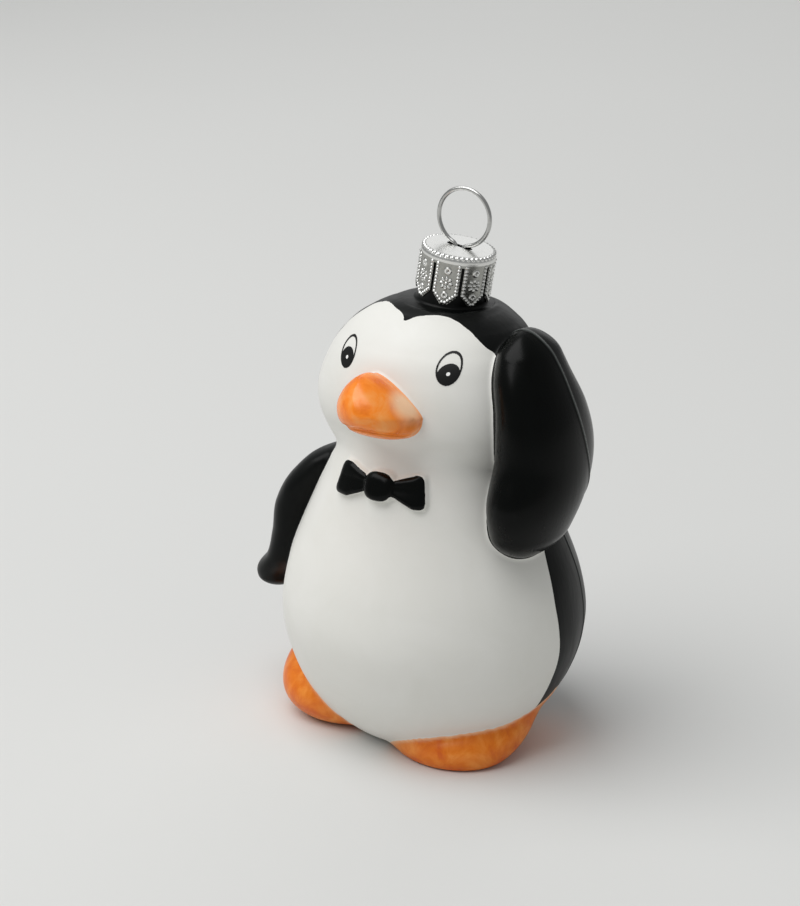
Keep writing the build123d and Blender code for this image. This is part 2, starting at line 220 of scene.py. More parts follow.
print("in a corner 1 mm from two walls, a fillet of 2 mm is", blended(1.0, 1.0, 2.0), "mm away")

# %% [markdown]
# The sizes of a blown form are known at a few levels only. Straight lines between them would show as rings in the
# reflections, so a smooth line runs through them. Its slope is needed too, because it tells how the wall leans.

# %% Draw a smooth line
def smooth_line(knots, values, at):
    """A smooth line through values at knots, read off at other places with its slope there."""
    knots, values = np.asarray(knots, float), np.asarray(values, float)
    slopes = np.gradient(values, knots)
    at = np.clip(at, knots[0], knots[-1])
    low = np.clip(np.searchsorted(knots, at) - 1, 0, len(knots) - 2)
    width = knots[low + 1] - knots[low]
    t = (at - knots[low]) / width
    rise = values[low + 1] - values[low]
    line = values[low] + (3 - 2 * t) * t * t * rise
    line = line + width * t * (t - 1) * ((t - 1) * slopes[low] + t * slopes[low + 1])
    slope = 6 * t * (1 - t) * rise / width + (1 - t) * (1 - 3 * t) * slopes[low] + t * (3 * t - 2) * slopes[low + 1]
    return line, slope


print("halfway from 0 to 4 on a line through 0, 4 and 6:", smooth_line((0, 1, 2), (0, 4, 6), 0.5)[0])

# %% [markdown]
# Two kinds of form make the whole penguin. A stack of ovals is like the rings of a barrel, and an egg is a ball with
# three different half sizes. For both, a reach that is 1 on the surface is easy to write down. Divided by its
# steepness, it becomes a distance that is right near the surface, which is all that is needed.

# %% Stacks and eggs
END_EDGE = 0.5
TINY = 1e-9


def stack_distance(stack, x, y, z, low_round=0.0, top_round=0.0):
    """Distance to a stack of ovals with rows of level, half width, half depth, side and front place.

    An end with a round length closes like an egg, an end without one is cut off flat."""
    levels, *columns = np.asarray(stack, float).T
    lines = [smooth_line(levels, column, z) for column in columns]
    (half_x, grow_x), (half_y, grow_y), (mid_x, lean_x), (mid_y, lean_y) = lines
    across, along = (x - mid_x) / half_x, (y - mid_y) / half_y
    low = np.maximum(1 - (z - levels[0]) / low_round, 0) if low_round else 0.0
    top = np.maximum(1 - (levels[-1] - z) / top_round, 0) if top_round else 0.0
    reach = np.sqrt(across**2 + along**2 + low**2 + top**2 + TINY)
    across, along = across / reach, along / reach
    tilt = across * (lean_x + across * grow_x) / half_x + along * (lean_y + along * grow_y) / half_y
    if low_round:
        tilt = tilt + low / reach / low_round - top / reach / top_round
    steepness = np.sqrt((across / half_x) ** 2 + (along / half_y) ** 2 + tilt**2 + TINY)
    distance = (reach - 1) / steepness
    if low_round:
        return distance
    return cut_down(distance, np.maximum(z - levels[-1], levels[0] - z), END_EDGE)


def egg_distance(halves, x, y, z):
    """Distance to an egg with three half sizes."""
    a, b, c = x / halves[0], y / halves[1], z / halves[2]
    reach = np.sqrt(a**2 + b**2 + c**2 + TINY)
    slope = (a / halves[0]) ** 2 + (b / halves[1]) ** 2 + (c / halves[2]) ** 2
    return (reach - 1) / np.sqrt(slope / reach**2 + TINY)


print("2 mm outside a ball of 5 mm:", round(float(egg_distance((5, 5, 5), 7, 0, 0)), 2))

# %% [markdown]
# ## Body and head
# The body is a stack of ovals like the rings of a barrel: wide at the belly, drawn in at the chin and round at the
# crown. Each row gives shares of the whole height, width and depth. They are close to those of the CAD model, with
# the belly drawn a little to the front low down, as in the photograph.

# %% Body and head
BODY_WIDTH, BODY_DEPTH, BODY_HEIGHT = 43.2, 40.4, 42.0
HEAD_WIDTH, HEAD_DEPTH, HEAD_HEIGHT, CROWN_BACK = 33.6, 26.4, 20.8, 3.2
BODY_SHARES = (
    # height, width, depth, move to the front in mm
    (0.0, 0.38, 0.36, 0.8),
    (0.025, 0.52, 0.49, 0.9),
    (0.075, 0.665, 0.625, 1.0),
    (0.155, 0.81, 0.77, 0.9),
    (0.29, 0.945, 0.925, 0.4),
    (0.43, 1.0, 0.998, 0.0),
    (0.57, 0.965, 0.95, 0.0),
    (0.715, 0.865, 0.84, 0.0),
    (0.835, 0.765, 0.73, 0.0),
    (0.93, 0.68, 0.645, 0.0),
    (1.0, 0.64, 0.6, 0.0),
)
HEAD_SHARES = (
    # height, width, depth, move back
    (0.1, 0.915, 0.915, 0.0),
    (0.235, 0.985, 0.985, 0.0),
    (0.365, 1.0, 1.0, 0.0),
    (0.575, 0.925, 0.945, 0.05),
    (0.74, 0.81, 0.84, 0.22),
    (0.86, 0.655, 0.7, 0.5),
    (0.935, 0.475, 0.53, 0.75),
    (0.98, 0.3, 0.35, 0.92),
    (1.0, 0.16, 0.19, 1.0),
)
CHIN_LIFT, CHIN_MIDDLE, CHIN_SPREAD = 0.2, -5.0, 6.0
CHIN_LOWEST, CHIN_HIGHEST = -1.0, 1.3
body_stack = [(BODY_HEIGHT * h, BODY_WIDTH * w / 2, BODY_DEPTH * d / 2, 0, -front) for h, w, d, front in BODY_SHARES]
head_stack = [
    (BODY_HEIGHT + HEAD_HEIGHT * h, HEAD_WIDTH * w / 2, HEAD_DEPTH * d / 2, 0, CROWN_BACK * b)
    for h, w, d, b in HEAD_SHARES
]


def core(x, y, z):
    """Body and head. The crease below the chin rises to the front, because the penguin looks up."""
    lift = np.clip(CHIN_LIFT * (CHIN_MIDDLE - y), CHIN_LOWEST, CHIN_HIGHEST)
    lift = lift * np.exp(-(((z - BODY_HEIGHT) / CHIN_SPREAD) ** 2))
    return stack_distance(body_stack + head_stack, x, y, z - lift)


print("ovals in body and head:", len(body_stack) + len(head_stack))

# %% [markdown]
# ## Wings
# The left wing is held up against the head, the right one hangs beside the belly with its tip turned out. Each is a
# narrow stack of ovals of its own, that leans in and out as it rises. Round lengths close its low and its top end.

# %% Wings
RAISED_LENGTH, RAISED_BREADTH, RAISED_THICKNESS = 30.2, 18.6, 10.4
RAISED_LOW_END, RAISED_SIDE, RAISED_FRONT = 31.0, 18.25, 3.0
RAISED_SHARES = (
    # height, thickness, breadth, move to the side, move to the front
    (0.0, 0.6, 0.6, 0.95, 1.5),
    (0.1, 0.8, 0.77, 0.97, 1.45),
    (0.25, 0.99, 0.99, 1.0, 1.3),
    (0.45, 1.0, 1.0, 1.01, 0.7),
    (0.65, 0.93, 0.88, 0.98, 0.75),
    (0.82, 0.8, 0.68, 0.91, 0.9),
    (0.93, 0.62, 0.51, 0.87, 0.8),
    (1.0, 0.46, 0.38, 0.85, 0.75),
)
LOWERED_LENGTH, LOWERED_BREADTH, LOWERED_THICKNESS = 23.6, 13.0, 7.0
LOWERED_LOW_END, LOWERED_SIDE, LOWERED_FRONT = 16.6, 20.9, 1.0
LOWERED_SHARES = (
    # height, thickness, breadth, move to the side, move to the front
    (0.0, 0.66, 0.62, 1.19, 1.0),
    (0.12, 0.84, 0.82, 1.19, 1.0),
    (0.25, 0.84, 0.95, 1.08, 1.0),
    (0.42, 0.95, 1.0, 1.01, 1.0),
    (0.62, 1.0, 0.98, 0.97, 1.0),
    (0.8, 0.88, 0.84, 0.87, 1.0),
    (0.93, 0.65, 0.59, 0.74, 1.0),
    (1.0, 0.43, 0.39, 0.62, 1.0),
)
RAISED_ROUND = (3.6, 3.0)
LOWERED_ROUND = (2.0, 2.5)


def wing_stack(shares, length, breadth, thickness, low_end, side, front):
    """The ovals of one wing."""
    return [
        (low_end + length * height, thickness * thick / 2, breadth * broad / 2, side * out, -front * ahead)
        for height, thick, broad, out, ahead in shares
    ]


raised_stack = wing_stack(
    RAISED_SHARES, RAISED_LENGTH, RAISED_BREADTH, RAISED_THICKNESS, RAISED_LOW_END, RAISED_SIDE, RAISED_FRONT
)
lowered_stack = wing_stack(
    LOWERED_SHARES, LOWERED_LENGTH, LOWERED_BREADTH, LOWERED_THICKNESS, LOWERED_LOW_END, -LOWERED_SIDE, LOWERED_FRONT
)


def raised_wing(x, y, z):
    """The wing at the head."""
    return stack_distance(raised_stack, x, y, z, *RAISED_ROUND)


def lowered_wing(x, y, z):
    """The wing beside the belly."""
    return stack_distance(lowered_stack, x, y, z, *LOWERED_ROUND)


print("ovals in the wings:", len(raised_stack), len(lowered_stack))

# %% [markdown]
# ## Beak
# Seen from the front the beak is a triangle with round corners: two slopes that meet in a blunt ridge on top, and a
# flat underside. It is an egg whose roundness across is changed, above its middle towards a rhombus and below it
# towards a box. The ridge leans to the penguin's right, as in the photograph.

# %% Beak
BEAK_FRONT, BEAK_LEVEL, BEAK_RISE = 14.0, 50.35, 0.17
BEAK_HALF_WIDTH, BEAK_HALF_LENGTH, RIDGE_LEAN = 5.65, 5.8, 0.35
BEAK_ABOVE, BEAK_BELOW = 5.0, 3.2
SLOPE_POWER, BOX_POWER, TIP_POWER = 1.4, 2.4, 1.75
BEAK_PROBE, LEAST_SLOPE = 0.05, 0.05


def beak_level(y, z):
    """Height above the beak's middle, which rises to the front."""
    return z - BEAK_LEVEL + BEAK_RISE * (y + BEAK_FRONT)


def beak_reach(x, y, z):
    """How far out a point lies, 1 on the beak's surface."""
    level = beak_level(y, z)
    side = np.abs(x + RIDGE_LEAN * np.maximum(level, 0)) / BEAK_HALF_WIDTH
    above = (side**SLOPE_POWER + (np.maximum(level, 0) / BEAK_ABOVE) ** SLOPE_POWER + TINY) ** (1 / SLOPE_POWER)
    below = (side**BOX_POWER + (np.maximum(-level, 0) / BEAK_BELOW) ** BOX_POWER + TINY) ** (1 / BOX_POWER)
    ahead = np.abs(y + BEAK_FRONT) / BEAK_HALF_LENGTH
    return (np.where(level > 0, above, below) ** TIP_POWER + ahead**TIP_POWER) ** (1 / TIP_POWER)


def beak(x, y, z):
    """The bill, half sunk in the face. How steep its reach grows is measured with a small step along each axis."""
    step = BEAK_PROBE
    reach = beak_reach(x, y, z)
    slopes = beak_reach(x + step, y, z), beak_reach(x, y + step, z), beak_reach(x, y, z + step)
    steepness = np.sqrt(sum((side - reach) ** 2 for side in slopes)) / step
    return (reach - 1) / np.maximum(steepness, LEAST_SLOPE)


print("beak:", 2 * BEAK_HALF_WIDTH, "mm wide, its tip at y", -BEAK_FRONT - BEAK_HALF_LENGTH)

# %% [markdown]
# ## Feet
# The feet are plain eggs under the belly, one turned out more than the other. Both rise along the body towards the
# back, so each egg is bent up by a smooth step. Later the floor cuts them flat.

# %% Feet
FOOT_HALVES = (10.5, 12.0, 5.5)
# side, front, middle level, turn in degrees
LEFT_FOOT = (6.4, 2.6, 2.2, 32.0)
RIGHT_FOOT = (-11.0, 0.6, 3.5, -50.0)
FOOT_RISE, FOOT_RISE_START, FOOT_RISE_LENGTH = 4.2, -13.0, 18.0


def foot(side, front, middle, turn, x, y, z):
    """One foot, its length along the toes."""
    back = np.clip((y - FOOT_RISE_START) / FOOT_RISE_LENGTH, 0, 1)
    level = z - middle - FOOT_RISE * back * back * (3 - 2 * back)
    c, s = math.cos(math.radians(turn)), math.sin(math.radians(turn))
    x, y = x - side, y + front
    return egg_distance(FOOT_HALVES, c * x + s * y, c * y - s * x, level)


def left_foot(x, y, z):
    """The penguin's left foot."""
    return foot(*LEFT_FOOT, x, y, z)


def right_foot(x, y, z):
    """The penguin's right foot."""
    return foot(*RIGHT_FOOT, x, y, z)


print("feet turned by", LEFT_FOOT[-1], "and", RIGHT_FOOT[-1], "degrees")

# %% [markdown]
# ## Bow tie
# The tie is moulded in low relief on the chest: two ribbon ends that widen from a round knot. It is the body's own
# surface, lifted inside a drawing that is projected from the front.

# %% Bow tie
BOW_SIDE, BOW_LEVEL = -0.1, 40.1
LEFT_RIBBON, RIGHT_RIBBON, RIBBON_SLANT = 6.3, 7.1, 0.22
RIBBON_ABOVE = (0.45, 1.85)
RIBBON_BELOW = (0.45, 2.25)
KNOT_HALF_WIDTH, KNOT_HALF_HEIGHT, KNOT_POWER = 2.05, 1.7, 2.6
BOW_PROUD, KNOT_PROUD = 1.05, 1.6
RIBBON_EDGE, KNOT_EDGE, KNOT_FILLET = 0.9, 1.2, 0.2
RIBBON_SIDE_CORNER, RIBBON_END_CORNER = 0.5, 1.0
PLEAT_DEPTH, PLEAT_WIDTH, PLEAT_REACH = 0.2, 0.7, 1.1
FAR_OFF = 99.0


def bow_outline(x, z):
    """Distance to the tie's outline in the front view, and to that of its knot."""
    side, level = x - BOW_SIDE, z - BOW_LEVEL
    out = np.abs(side)
    share = np.clip((out - KNOT_HALF_WIDTH / 2) / (LEFT_RIBBON - KNOT_HALF_WIDTH), 0, 1)
    above = RIBBON_ABOVE[0] + (RIBBON_ABOVE[1] - RIBBON_ABOVE[0]) * share
    below = RIBBON_BELOW[0] + (RIBBON_BELOW[1] - RIBBON_BELOW[0]) * share
    end = out - np.where(side > 0, LEFT_RIBBON, RIGHT_RIBBON) + RIBBON_SLANT * level
    ribbon = cut_down(cut_down(level - above, -level - below, RIBBON_SIDE_CORNER), end, RIBBON_END_CORNER)
    knot = (out / KNOT_HALF_WIDTH) ** KNOT_POWER + (np.abs(level) / KNOT_HALF_HEIGHT) ** KNOT_POWER
    knot = (knot ** (1 / KNOT_POWER) - 1) * KNOT_HALF_HEIGHT
    return ribbon, knot, out, level


def bow_tie(x, y, z):
    """The tie, lifted off the chest, with a pleat that runs out from the knot."""
    ribbon, knot, out, level = bow_outline(x, z)
    pleat = PLEAT_DEPTH * np.exp(-((level / PLEAT_WIDTH) ** 2)) * np.clip(PLEAT_REACH - out / LEFT_RIBBON, 0, 1)
    chest = core(x, y, z)
    ribbon = cut_down(ribbon, chest - BOW_PROUD + pleat, RIBBON_EDGE)
    knot = cut_down(knot, chest - KNOT_PROUD, KNOT_EDGE)
    return np.where(y < 0, blended(ribbon, knot, KNOT_FILLET), FAR_OFF)


print("tie:", round(LEFT_RIBBON + RIGHT_RIBBON, 1), "mm wide")

# %% [markdown]
# ## Neck
# The glass neck on the crown is a plain tube that leans to the left. Its place and its axis come from the joint
# about which the cap turns. The crown is pressed flat round it, so that the tabs of the cap have room.

# %% Neck
joints = {joint["name"]: joint for joint in frame["record"]["behaviour"]["joints"]}
neck_axis = np.array(joints["cap_swivel"]["axis"])
neck_axis /= np.linalg.norm(neck_axis)
neck_rim = np.array(joints["cap_swivel"]["pos_m"]) / MM
NECK_RADIUS, NECK_BORE, NECK_LENGTH = 4.6, 3.7, 9.8
SEAT_RADIUS, SEAT_LEVEL, SEAT_EDGE = 6.0, -7.25, 1.2


def neck_place(x, y, z):
    """How far a point lies above the rim along the neck, and how far off its axis."""
    x, y, z = x - neck_rim[0], y - neck_rim[1], z - neck_rim[2]
    rise = x * neck_axis[0] + y * neck_axis[1] + z * neck_axis[2]
    return rise, np.sqrt(np.maximum(x**2 + y**2 + z**2 - rise**2, TINY))


def crown_seat(x, y, z):
    """Negative in the room for the cap's tabs: the crown is pressed flat round the neck."""
    rise, off = neck_place(x, y, z)
    return np.maximum(off - SEAT_RADIUS, SEAT_LEVEL - rise)


def neck(x, y, z):
    """The neck's outside."""
    rise, off = neck_place(x, y, z)
    return np.maximum(np.maximum(off - NECK_RADIUS, rise), -rise - NECK_LENGTH)


print("neck rim at", neck_rim.round(2), "axis", neck_axis.round(3))

# %% [markdown]
# ## One skin
# The forms are blended in turn, each with a fillet judged from the photograph: widest at the feet and the wings,
# tightest at the tie. The lacquer's outside lies a fixed step above the glass, and the floor cuts it flat underneath.

# %% Blend the forms
LACQUER_OUTSIDE = 0.28
FLOOR_EDGE = 0.5
FILLETS = (
    # form, radius of the fillet where it leaves the body
    (raised_wing, 0.9),
    (lowered_wing, 0.9),
    (beak, 0.6),
    (left_foot, 1.0),
    (right_foot, 1.0),
    (neck, 0.5),
    (bow_tie, 0.3),
)


def glass_outside(x, y, z):
    """Distance to the outside of the glass bubble, before it is flattened underneath."""
    whole = cut_down(core(x, y, z), -crown_seat(x, y, z), SEAT_EDGE)
    for form, radius in FILLETS:
        whole = blended(whole, form(x, y, z), radius)
    return whole


def skin(x, y, z):
    """Distance to the outside of the lacquer."""
    return cut_down(glass_outside(x, y, z) - LACQUER_OUTSIDE, -z, FLOOR_EDGE)


print("forms blended:", [form.__name__ for form, _ in FILLETS])

# %% [markdown]
# The distances are filled into a grid, and OpenVDB draws a mesh through zero. A remesh modifier would do the same for
# joined meshes, but here the exact surface is known as well: a few corrections along the gradient, the direction in
# which the distance grows, pull every vertex onto it.

# %% Draw the skin
GRID_STEP = 0.36
GRID_MARGIN = 1.5
GRID_BAND = 4 * GRID_STEP
PROBE = 0.02
LEAST_STEEP = 0.25
PULLS = 2


def gradient(field, points):
    """The direction in which a field grows, at each point."""
    sides = []
    for offset in np.eye(3) * PROBE:
        sides.append(field(*(points + offset).T) - field(*(points - offset).T))
    return np.stack(sides, axis=1) / (2 * PROBE)


def drawn(field, low, high):
    """A triangle mesh through a field's zero, as points and faces that look outward."""
    axes = [np.arange(a, b, GRID_STEP) for a, b in zip(low, high)]
    values = field(*np.meshgrid(*axes, indexing="ij", sparse=True)).astype(np.float32)
    grid = openvdb.FloatGrid(GRID_BAND)
    grid.copyFromArray(np.clip(values, -GRID_BAND, GRID_BAND))
    points, quads = grid.convertToQuads(isovalue=0.0)
    points = points.astype(float) * GRID_STEP + np.array([axis[0] for axis in axes])
    faces = np.concatenate([quads[:, (0, 1, 2)], quads[:, (0, 2, 3)]]).astype(int)
    corners = points[faces]
    volume = np.einsum("ij,ij->", corners[:, 0], np.cross(corners[:, 1], corners[:, 2])) / 6
    return points, faces if volume > 0 else faces[:, ::-1]


def pulled_onto(field, points, reach):
    """Points moved onto a field's zero, in steps of at most a reach."""
    for _ in range(PULLS):
        slope = gradient(field, points)
        steep = np.maximum(np.einsum("ij,ij->i", slope, slope), LEAST_STEEP)
        points = points - slope * np.clip(field(*points.T) / steep, -reach, reach)[:, None]
    return points


glass_low, glass_high = [np.array(corner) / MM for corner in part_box("glass_body")]
points, faces = drawn(skin, glass_low - GRID_MARGIN, glass_high + GRID_MARGIN)
points = pulled_onto(skin, points, GRID_STEP)
print("skin:", len(points), "points,", len(faces), "triangles")

# %% [markdown]
# ## Cutting along a painted edge
# A brush leaves a clean edge that doesn't follow the mesh. Each colour has a field that is positive where the colour
# lies. A triangle that the edge crosses is split there, so the edge is as smooth as the drawing of it.

# %% Helpers for cutting
SNAP = 0.02


def cut(points, faces, field):
    """Splits triangles along a field's zero. Gives the points, the faces inside and the faces outside."""
    values = field(points)
    values[np.abs(values) < SNAP] = 0
    signs = np.sign(values)[faces]
    crossed = (signs > 0).any(axis=1) & (signs < 0).any(axis=1)
    inside = [faces[~crossed & (signs > 0).any(axis=1)]]
    outside = [faces[~crossed & ~(signs > 0).any(axis=1)]]
    added, on_edge = [], {}
    new_in, new_out = [], []
    for face in faces[crossed]:
        ring_in, ring_out = [], []
        for a, b in zip(face, np.roll(face, -1)):
            if values[a] >= 0:
                ring_in.append(a)
            if values[a] <= 0:
                ring_out.append(a)
            if values[a] * values[b] < 0:
                key = (min(a, b), max(a, b))
                if key not in on_edge:
                    on_edge[key] = len(points) + len(added)
                    added.append(points[a] + (points[b] - points[a]) * values[a] / (values[a] - values[b]))
                ring_in.append(on_edge[key])
                ring_out.append(on_edge[key])
        for ring, target in ((ring_in, new_in), (ring_out, new_out)):
            target += [(ring[0], ring[i], ring[i + 1]) for i in range(1, len(ring) - 1)]
    if added:
        points = np.concatenate([points, np.array(added)])
    if new_in:
        inside.append(np.array(new_in))
    if new_out:
        outside.append(np.array(new_out))
    return points, np.concatenate(inside), np.concatenate(outside)


def scored(points, faces, field):
    """Splits triangles along a field's zero and keeps both sides."""
    points, inside, outside = cut(points, faces, field)
    return points, np.concatenate([inside, outside])


one_triangle = np.array([(0.0, 0.0, 0.0), (2.0, 0.0, 0.0), (0.0, 2.0, 0.0)])
_, left, right = cut(one_triangle, np.array([(0, 1, 2)]), lambda corners: 1 - corners[:, 0])
print("a triangle cut across gives", len(left), "faces on one side and", len(right), "on the other")

# %% [markdown]
# ## Where the white lies
# The hood comes down to a small peak over the beak and to a temple beside each eye. The side line then runs down in
# front of the wings to the feet. An image texture could hold that drawing, but it would blur at its edges. Here the
# two lines are smooth lines through a few points each, seen from the front and from the side. A slow wobble of some
# hundredths of a millimetre stands for the painter's hand.

# %% Hood and side line
HOOD_SIDES = (
    *(-14.0, -12.2, -10.9, -9.7, -8.7, -7.4, -5.9, -4.1, -2.5, -1.5, -1.05),
    *(-0.65, 0.1, 1.0, 2.4, 3.7, 5.2, 6.8, 8.4, 9.7, 10.8, 12.2, 14.0),
)
HOOD_LEVELS = (
    *(56.9, 58.6, 59.8, 60.75, 61.22, 61.6, 61.82, 61.8, 61.62, 61.3, 60.98),
    *(61.1, 61.48, 61.67, 61.77, 61.7, 61.45, 60.9, 60.2, 59.45, 58.7, 57.8, 56.2),
)
SIDE_LEVELS = (0.0, 8.0, 12.0, 15.0, 19.5, 22.8, 25.5, 28.0, 30.5, 42.0, 47.0, 52.0, 55.5, 58.5, 60.0, 63.0)
SIDE_PLACES = (-4.0, -3.0, -2.6, -2.4, -2.7, -2.9, -2.7, -2.35, -2.0, -2.2, -3.4, -4.5, -4.3, -2.5, 0.0, 0.0)
EDGE_WAVE, EDGE_WOBBLE = 3.0, 0.1
WAVE_TURN, WAVE_START = 2.5, 3.0
wobble_waves = np.random.default_rng(7).normal(size=(6, 4))


def wobble(points, size, reach):
    """A slow unevenness with a typical wave length and height in millimetres."""
    waves = [np.sin(points @ row[:3] * WAVE_TURN / size + WAVE_START * row[3]) for row in wobble_waves]
    return reach * np.mean(waves, axis=0)


def white_field(points):
    """White lies below the hood's edge and in front of the side line."""
    x, y, z = points.T
    hood = smooth_line(HOOD_SIDES, HOOD_LEVELS, x)[0] - z
    side = smooth_line(SIDE_LEVELS, SIDE_PLACES, z)[0] - y
    return np.minimum(hood, side) + wobble(points, EDGE_WAVE, EDGE_WOBBLE)


print("white on", round(float(np.mean(white_field(points) > 0)) * 100), "percent of the skin's points")

# %% [markdown]
# ## Where the other colours lie
# Beak, feet and wings are painted up to the crease where they leave the body, or a little past it with a rough brush.
# The crease is where the distance to the form and the distance to the body are equal. The tie is painted as it is
# seen from the front. The underside and the rim of the neck stay bare glass.

# %% Fields of the other coats
NECK_PAINTED = -0.5
BASE_EDGE = 0.1
FOOT_RUN, FOOT_RUN_START, FOOT_RUN_LENGTH, FOOT_RUN_WAY = 3.0, 8.0, 9.0, (0.85, 0.53)
BOW_OVER = 0.15
DAB_WAVE = 0.8


def crease_field(form, over, ragged):
    """A form's own colour, up to the crease with the body or a little over it."""

    def field(points):
        return core(*points.T) - form(*points.T) + over + wobble(points, DAB_WAVE, ragged)

    return field


def left_foot_field(points):
    """The left foot's orange also runs up the side of the body."""
    x, y, z = points.T
    along = FOOT_RUN_WAY[0] * x + FOOT_RUN_WAY[1] * y
    share = np.clip((along - FOOT_RUN_START) / FOOT_RUN_LENGTH, 0, 1)
    return crease_field(left_foot, 0.3, 0.2)(points) + FOOT_RUN * share**2


def base_field(points):
    """The flat underside is bare glass."""
    return BASE_EDGE - points[:, 2]


def neck_field(points):
    """The neck's rim under the cap is bare glass."""
    return neck_place(*points.T)[0] - NECK_PAINTED


def bow_field(points):
    """The tie's outline from the front, a little wider than its relief."""
    x, y, z = points.T
    return np.where(y < 0, BOW_OVER - np.minimum(*bow_outline(x, z)[:2]), -FAR_OFF)


ZONES = (
    # coat and field; a crease field has how far the paint runs past the crease, and how ragged its edge is
    ("base", base_field),
    ("rim", neck_field),
    ("bow_tie_coat", bow_field),
    ("beak_coat", crease_field(beak, 0.0, 0.04)),
    ("left_foot_coat", left_foot_field),
    ("right_foot_coat", crease_field(right_foot, 0.5, 0.2)),
    ("raised_wing_coat", crease_field(raised_wing, 0.1, 0.05)),
    ("lowered_wing_coat", crease_field(lowered_wing, 0.1, 0.05)),
    ("white_coat", white_field),
)
print("fields:", [name for name, _ in ZONES])

# %% [markdown]
# Now the skin is cut, one coat after the other. What a coat takes is gone for the next one, so no two coats overlap,
# and what is left at the end is the black of hood and back.

# %% Cut the skin into coats
zones = {}
rest = faces
for name, field in ZONES:
    points, zones[name], rest = cut(points, rest, field)
zones["black_coat"] = rest
print({name: len(part) for name, part in zones.items()})

# %% [markdown]
# ## Mould seams and mouth
# Two mould halves leave a fine ridge down the outside of the raised wing and on down the side. The mouth is a
# groove low on the beak. Both are finer than the grid, so a few lines along them are scored into the mesh first.
# Then the field gets the ridge and the groove, and the points near them are pulled onto it.

# %% Score the seams and the mouth
SEAM_LEVELS = (0.0, 8.0, 16.0, 21.0, 25.0, 30.0, 38.0, 46.0, 52.0, 56.0, 60.0, 63.0)
SEAM_PLACES = (4.0, 4.6, 5.4, 5.8, 5.9, 5.2, 2.8, -0.35, -1.8, -2.2, -2.8, -3.2)
SEAM_HALF, SEAM_HEIGHT, SEAM_SIDE = 0.26, 0.13, 12.0
MOUTH_HALF, MOUTH_DEPTH, MOUTH_FRONT = 0.28, 0.3, -14.5
MOUTH_LEVEL, MOUTH_CURVE = -1.9, 0.015
SEAM_FADE, MOUTH_FADE, MOUTH_NEAR = 2.0, 1.5, 2.0
LINE_PULL = 0.2
LINES = (-2.0, -1.0, -0.5, 0.0, 0.5, 1.0, 2.0)


def seam_line(x, y, z):
    """Distance behind the line where the mould halves met."""
    return y - smooth_line(SEAM_LEVELS, SEAM_PLACES, z)[0]


def seam_share(x, y, z, half):
    """1 on the crest of the seam, 0 beside it and away from the penguin's left side."""
    return np.exp(-((seam_line(x, y, z) / half) ** 2)) * np.clip((x - SEAM_SIDE) / SEAM_FADE, 0, 1)


def mouth_line(x, y, z):
    """Height above the mouth, which curves down to its corners."""
    return beak_level(y, z) - MOUTH_LEVEL + MOUTH_CURVE * x**2


def finished_skin(x, y, z):
    """The skin with its seams and its mouth."""
    seam = SEAM_HEIGHT * seam_share(x, y, z, SEAM_HALF)
    mouth = MOUTH_DEPTH * np.exp(-((mouth_line(x, y, z) / MOUTH_HALF) ** 2))
    mouth = mouth * np.clip((MOUTH_FRONT - y) / MOUTH_FADE, 0, 1) * np.clip(MOUTH_NEAR - beak(x, y, z), 0, 1)
    return skin(x, y, z) - seam + mouth


for line, half, names in (
    (seam_line, SEAM_HALF, ("raised_wing_coat", "black_coat")),
    (mouth_line, MOUTH_HALF, ("beak_coat",)),
):
    for name in names:
        for share in LINES:
            points, zones[name] = scored(points, zones[name], lambda p: line(*p.T) + share * half)
points = pulled_onto(finished_skin, points, LINE_PULL)
print("points with seams and mouth:", len(points))

# %% [markdown]
# ## Lacquers
# White is a satin lacquer, laid thin over smooth glass, so it shows a soft sheen and no sharp highlight. Black is
# brushed on: deep and glossy on the raised wing and the tie, a little duller and streaked on hood and back. Orange
# is dabbed on in three tones that run into each other. All are the same kind of finish, so one function makes them.
# Clouds mix the tones and change the gloss with them, streaks follow the brush, and a fine bump is the skin that the
# coat dried to. On real lacquer that skin is too fine for the picture to show, so it is drawn coarser here. Where a
# mesh is marked, a paler tone is mixed in: along the edge of an orange coat it is the paler ground showing through
# thin paint, and on the crest of the mould seam it is a painted highlight. A pale spot on the beak is a painted
# highlight too.

# %% How a lacquer is made
LACQUER_IOR = 1.47
CLOUD_LOW, CLOUD_HIGH = 0.32, 0.68
# a painted highlight: full pale tone inside this share of its size, and the most of the pale tone it mixes in
HIGHLIGHT_CORE, HIGHLIGHT_SHARE = 0.3, 0.8
SKIN_STRENGTH = 0.5


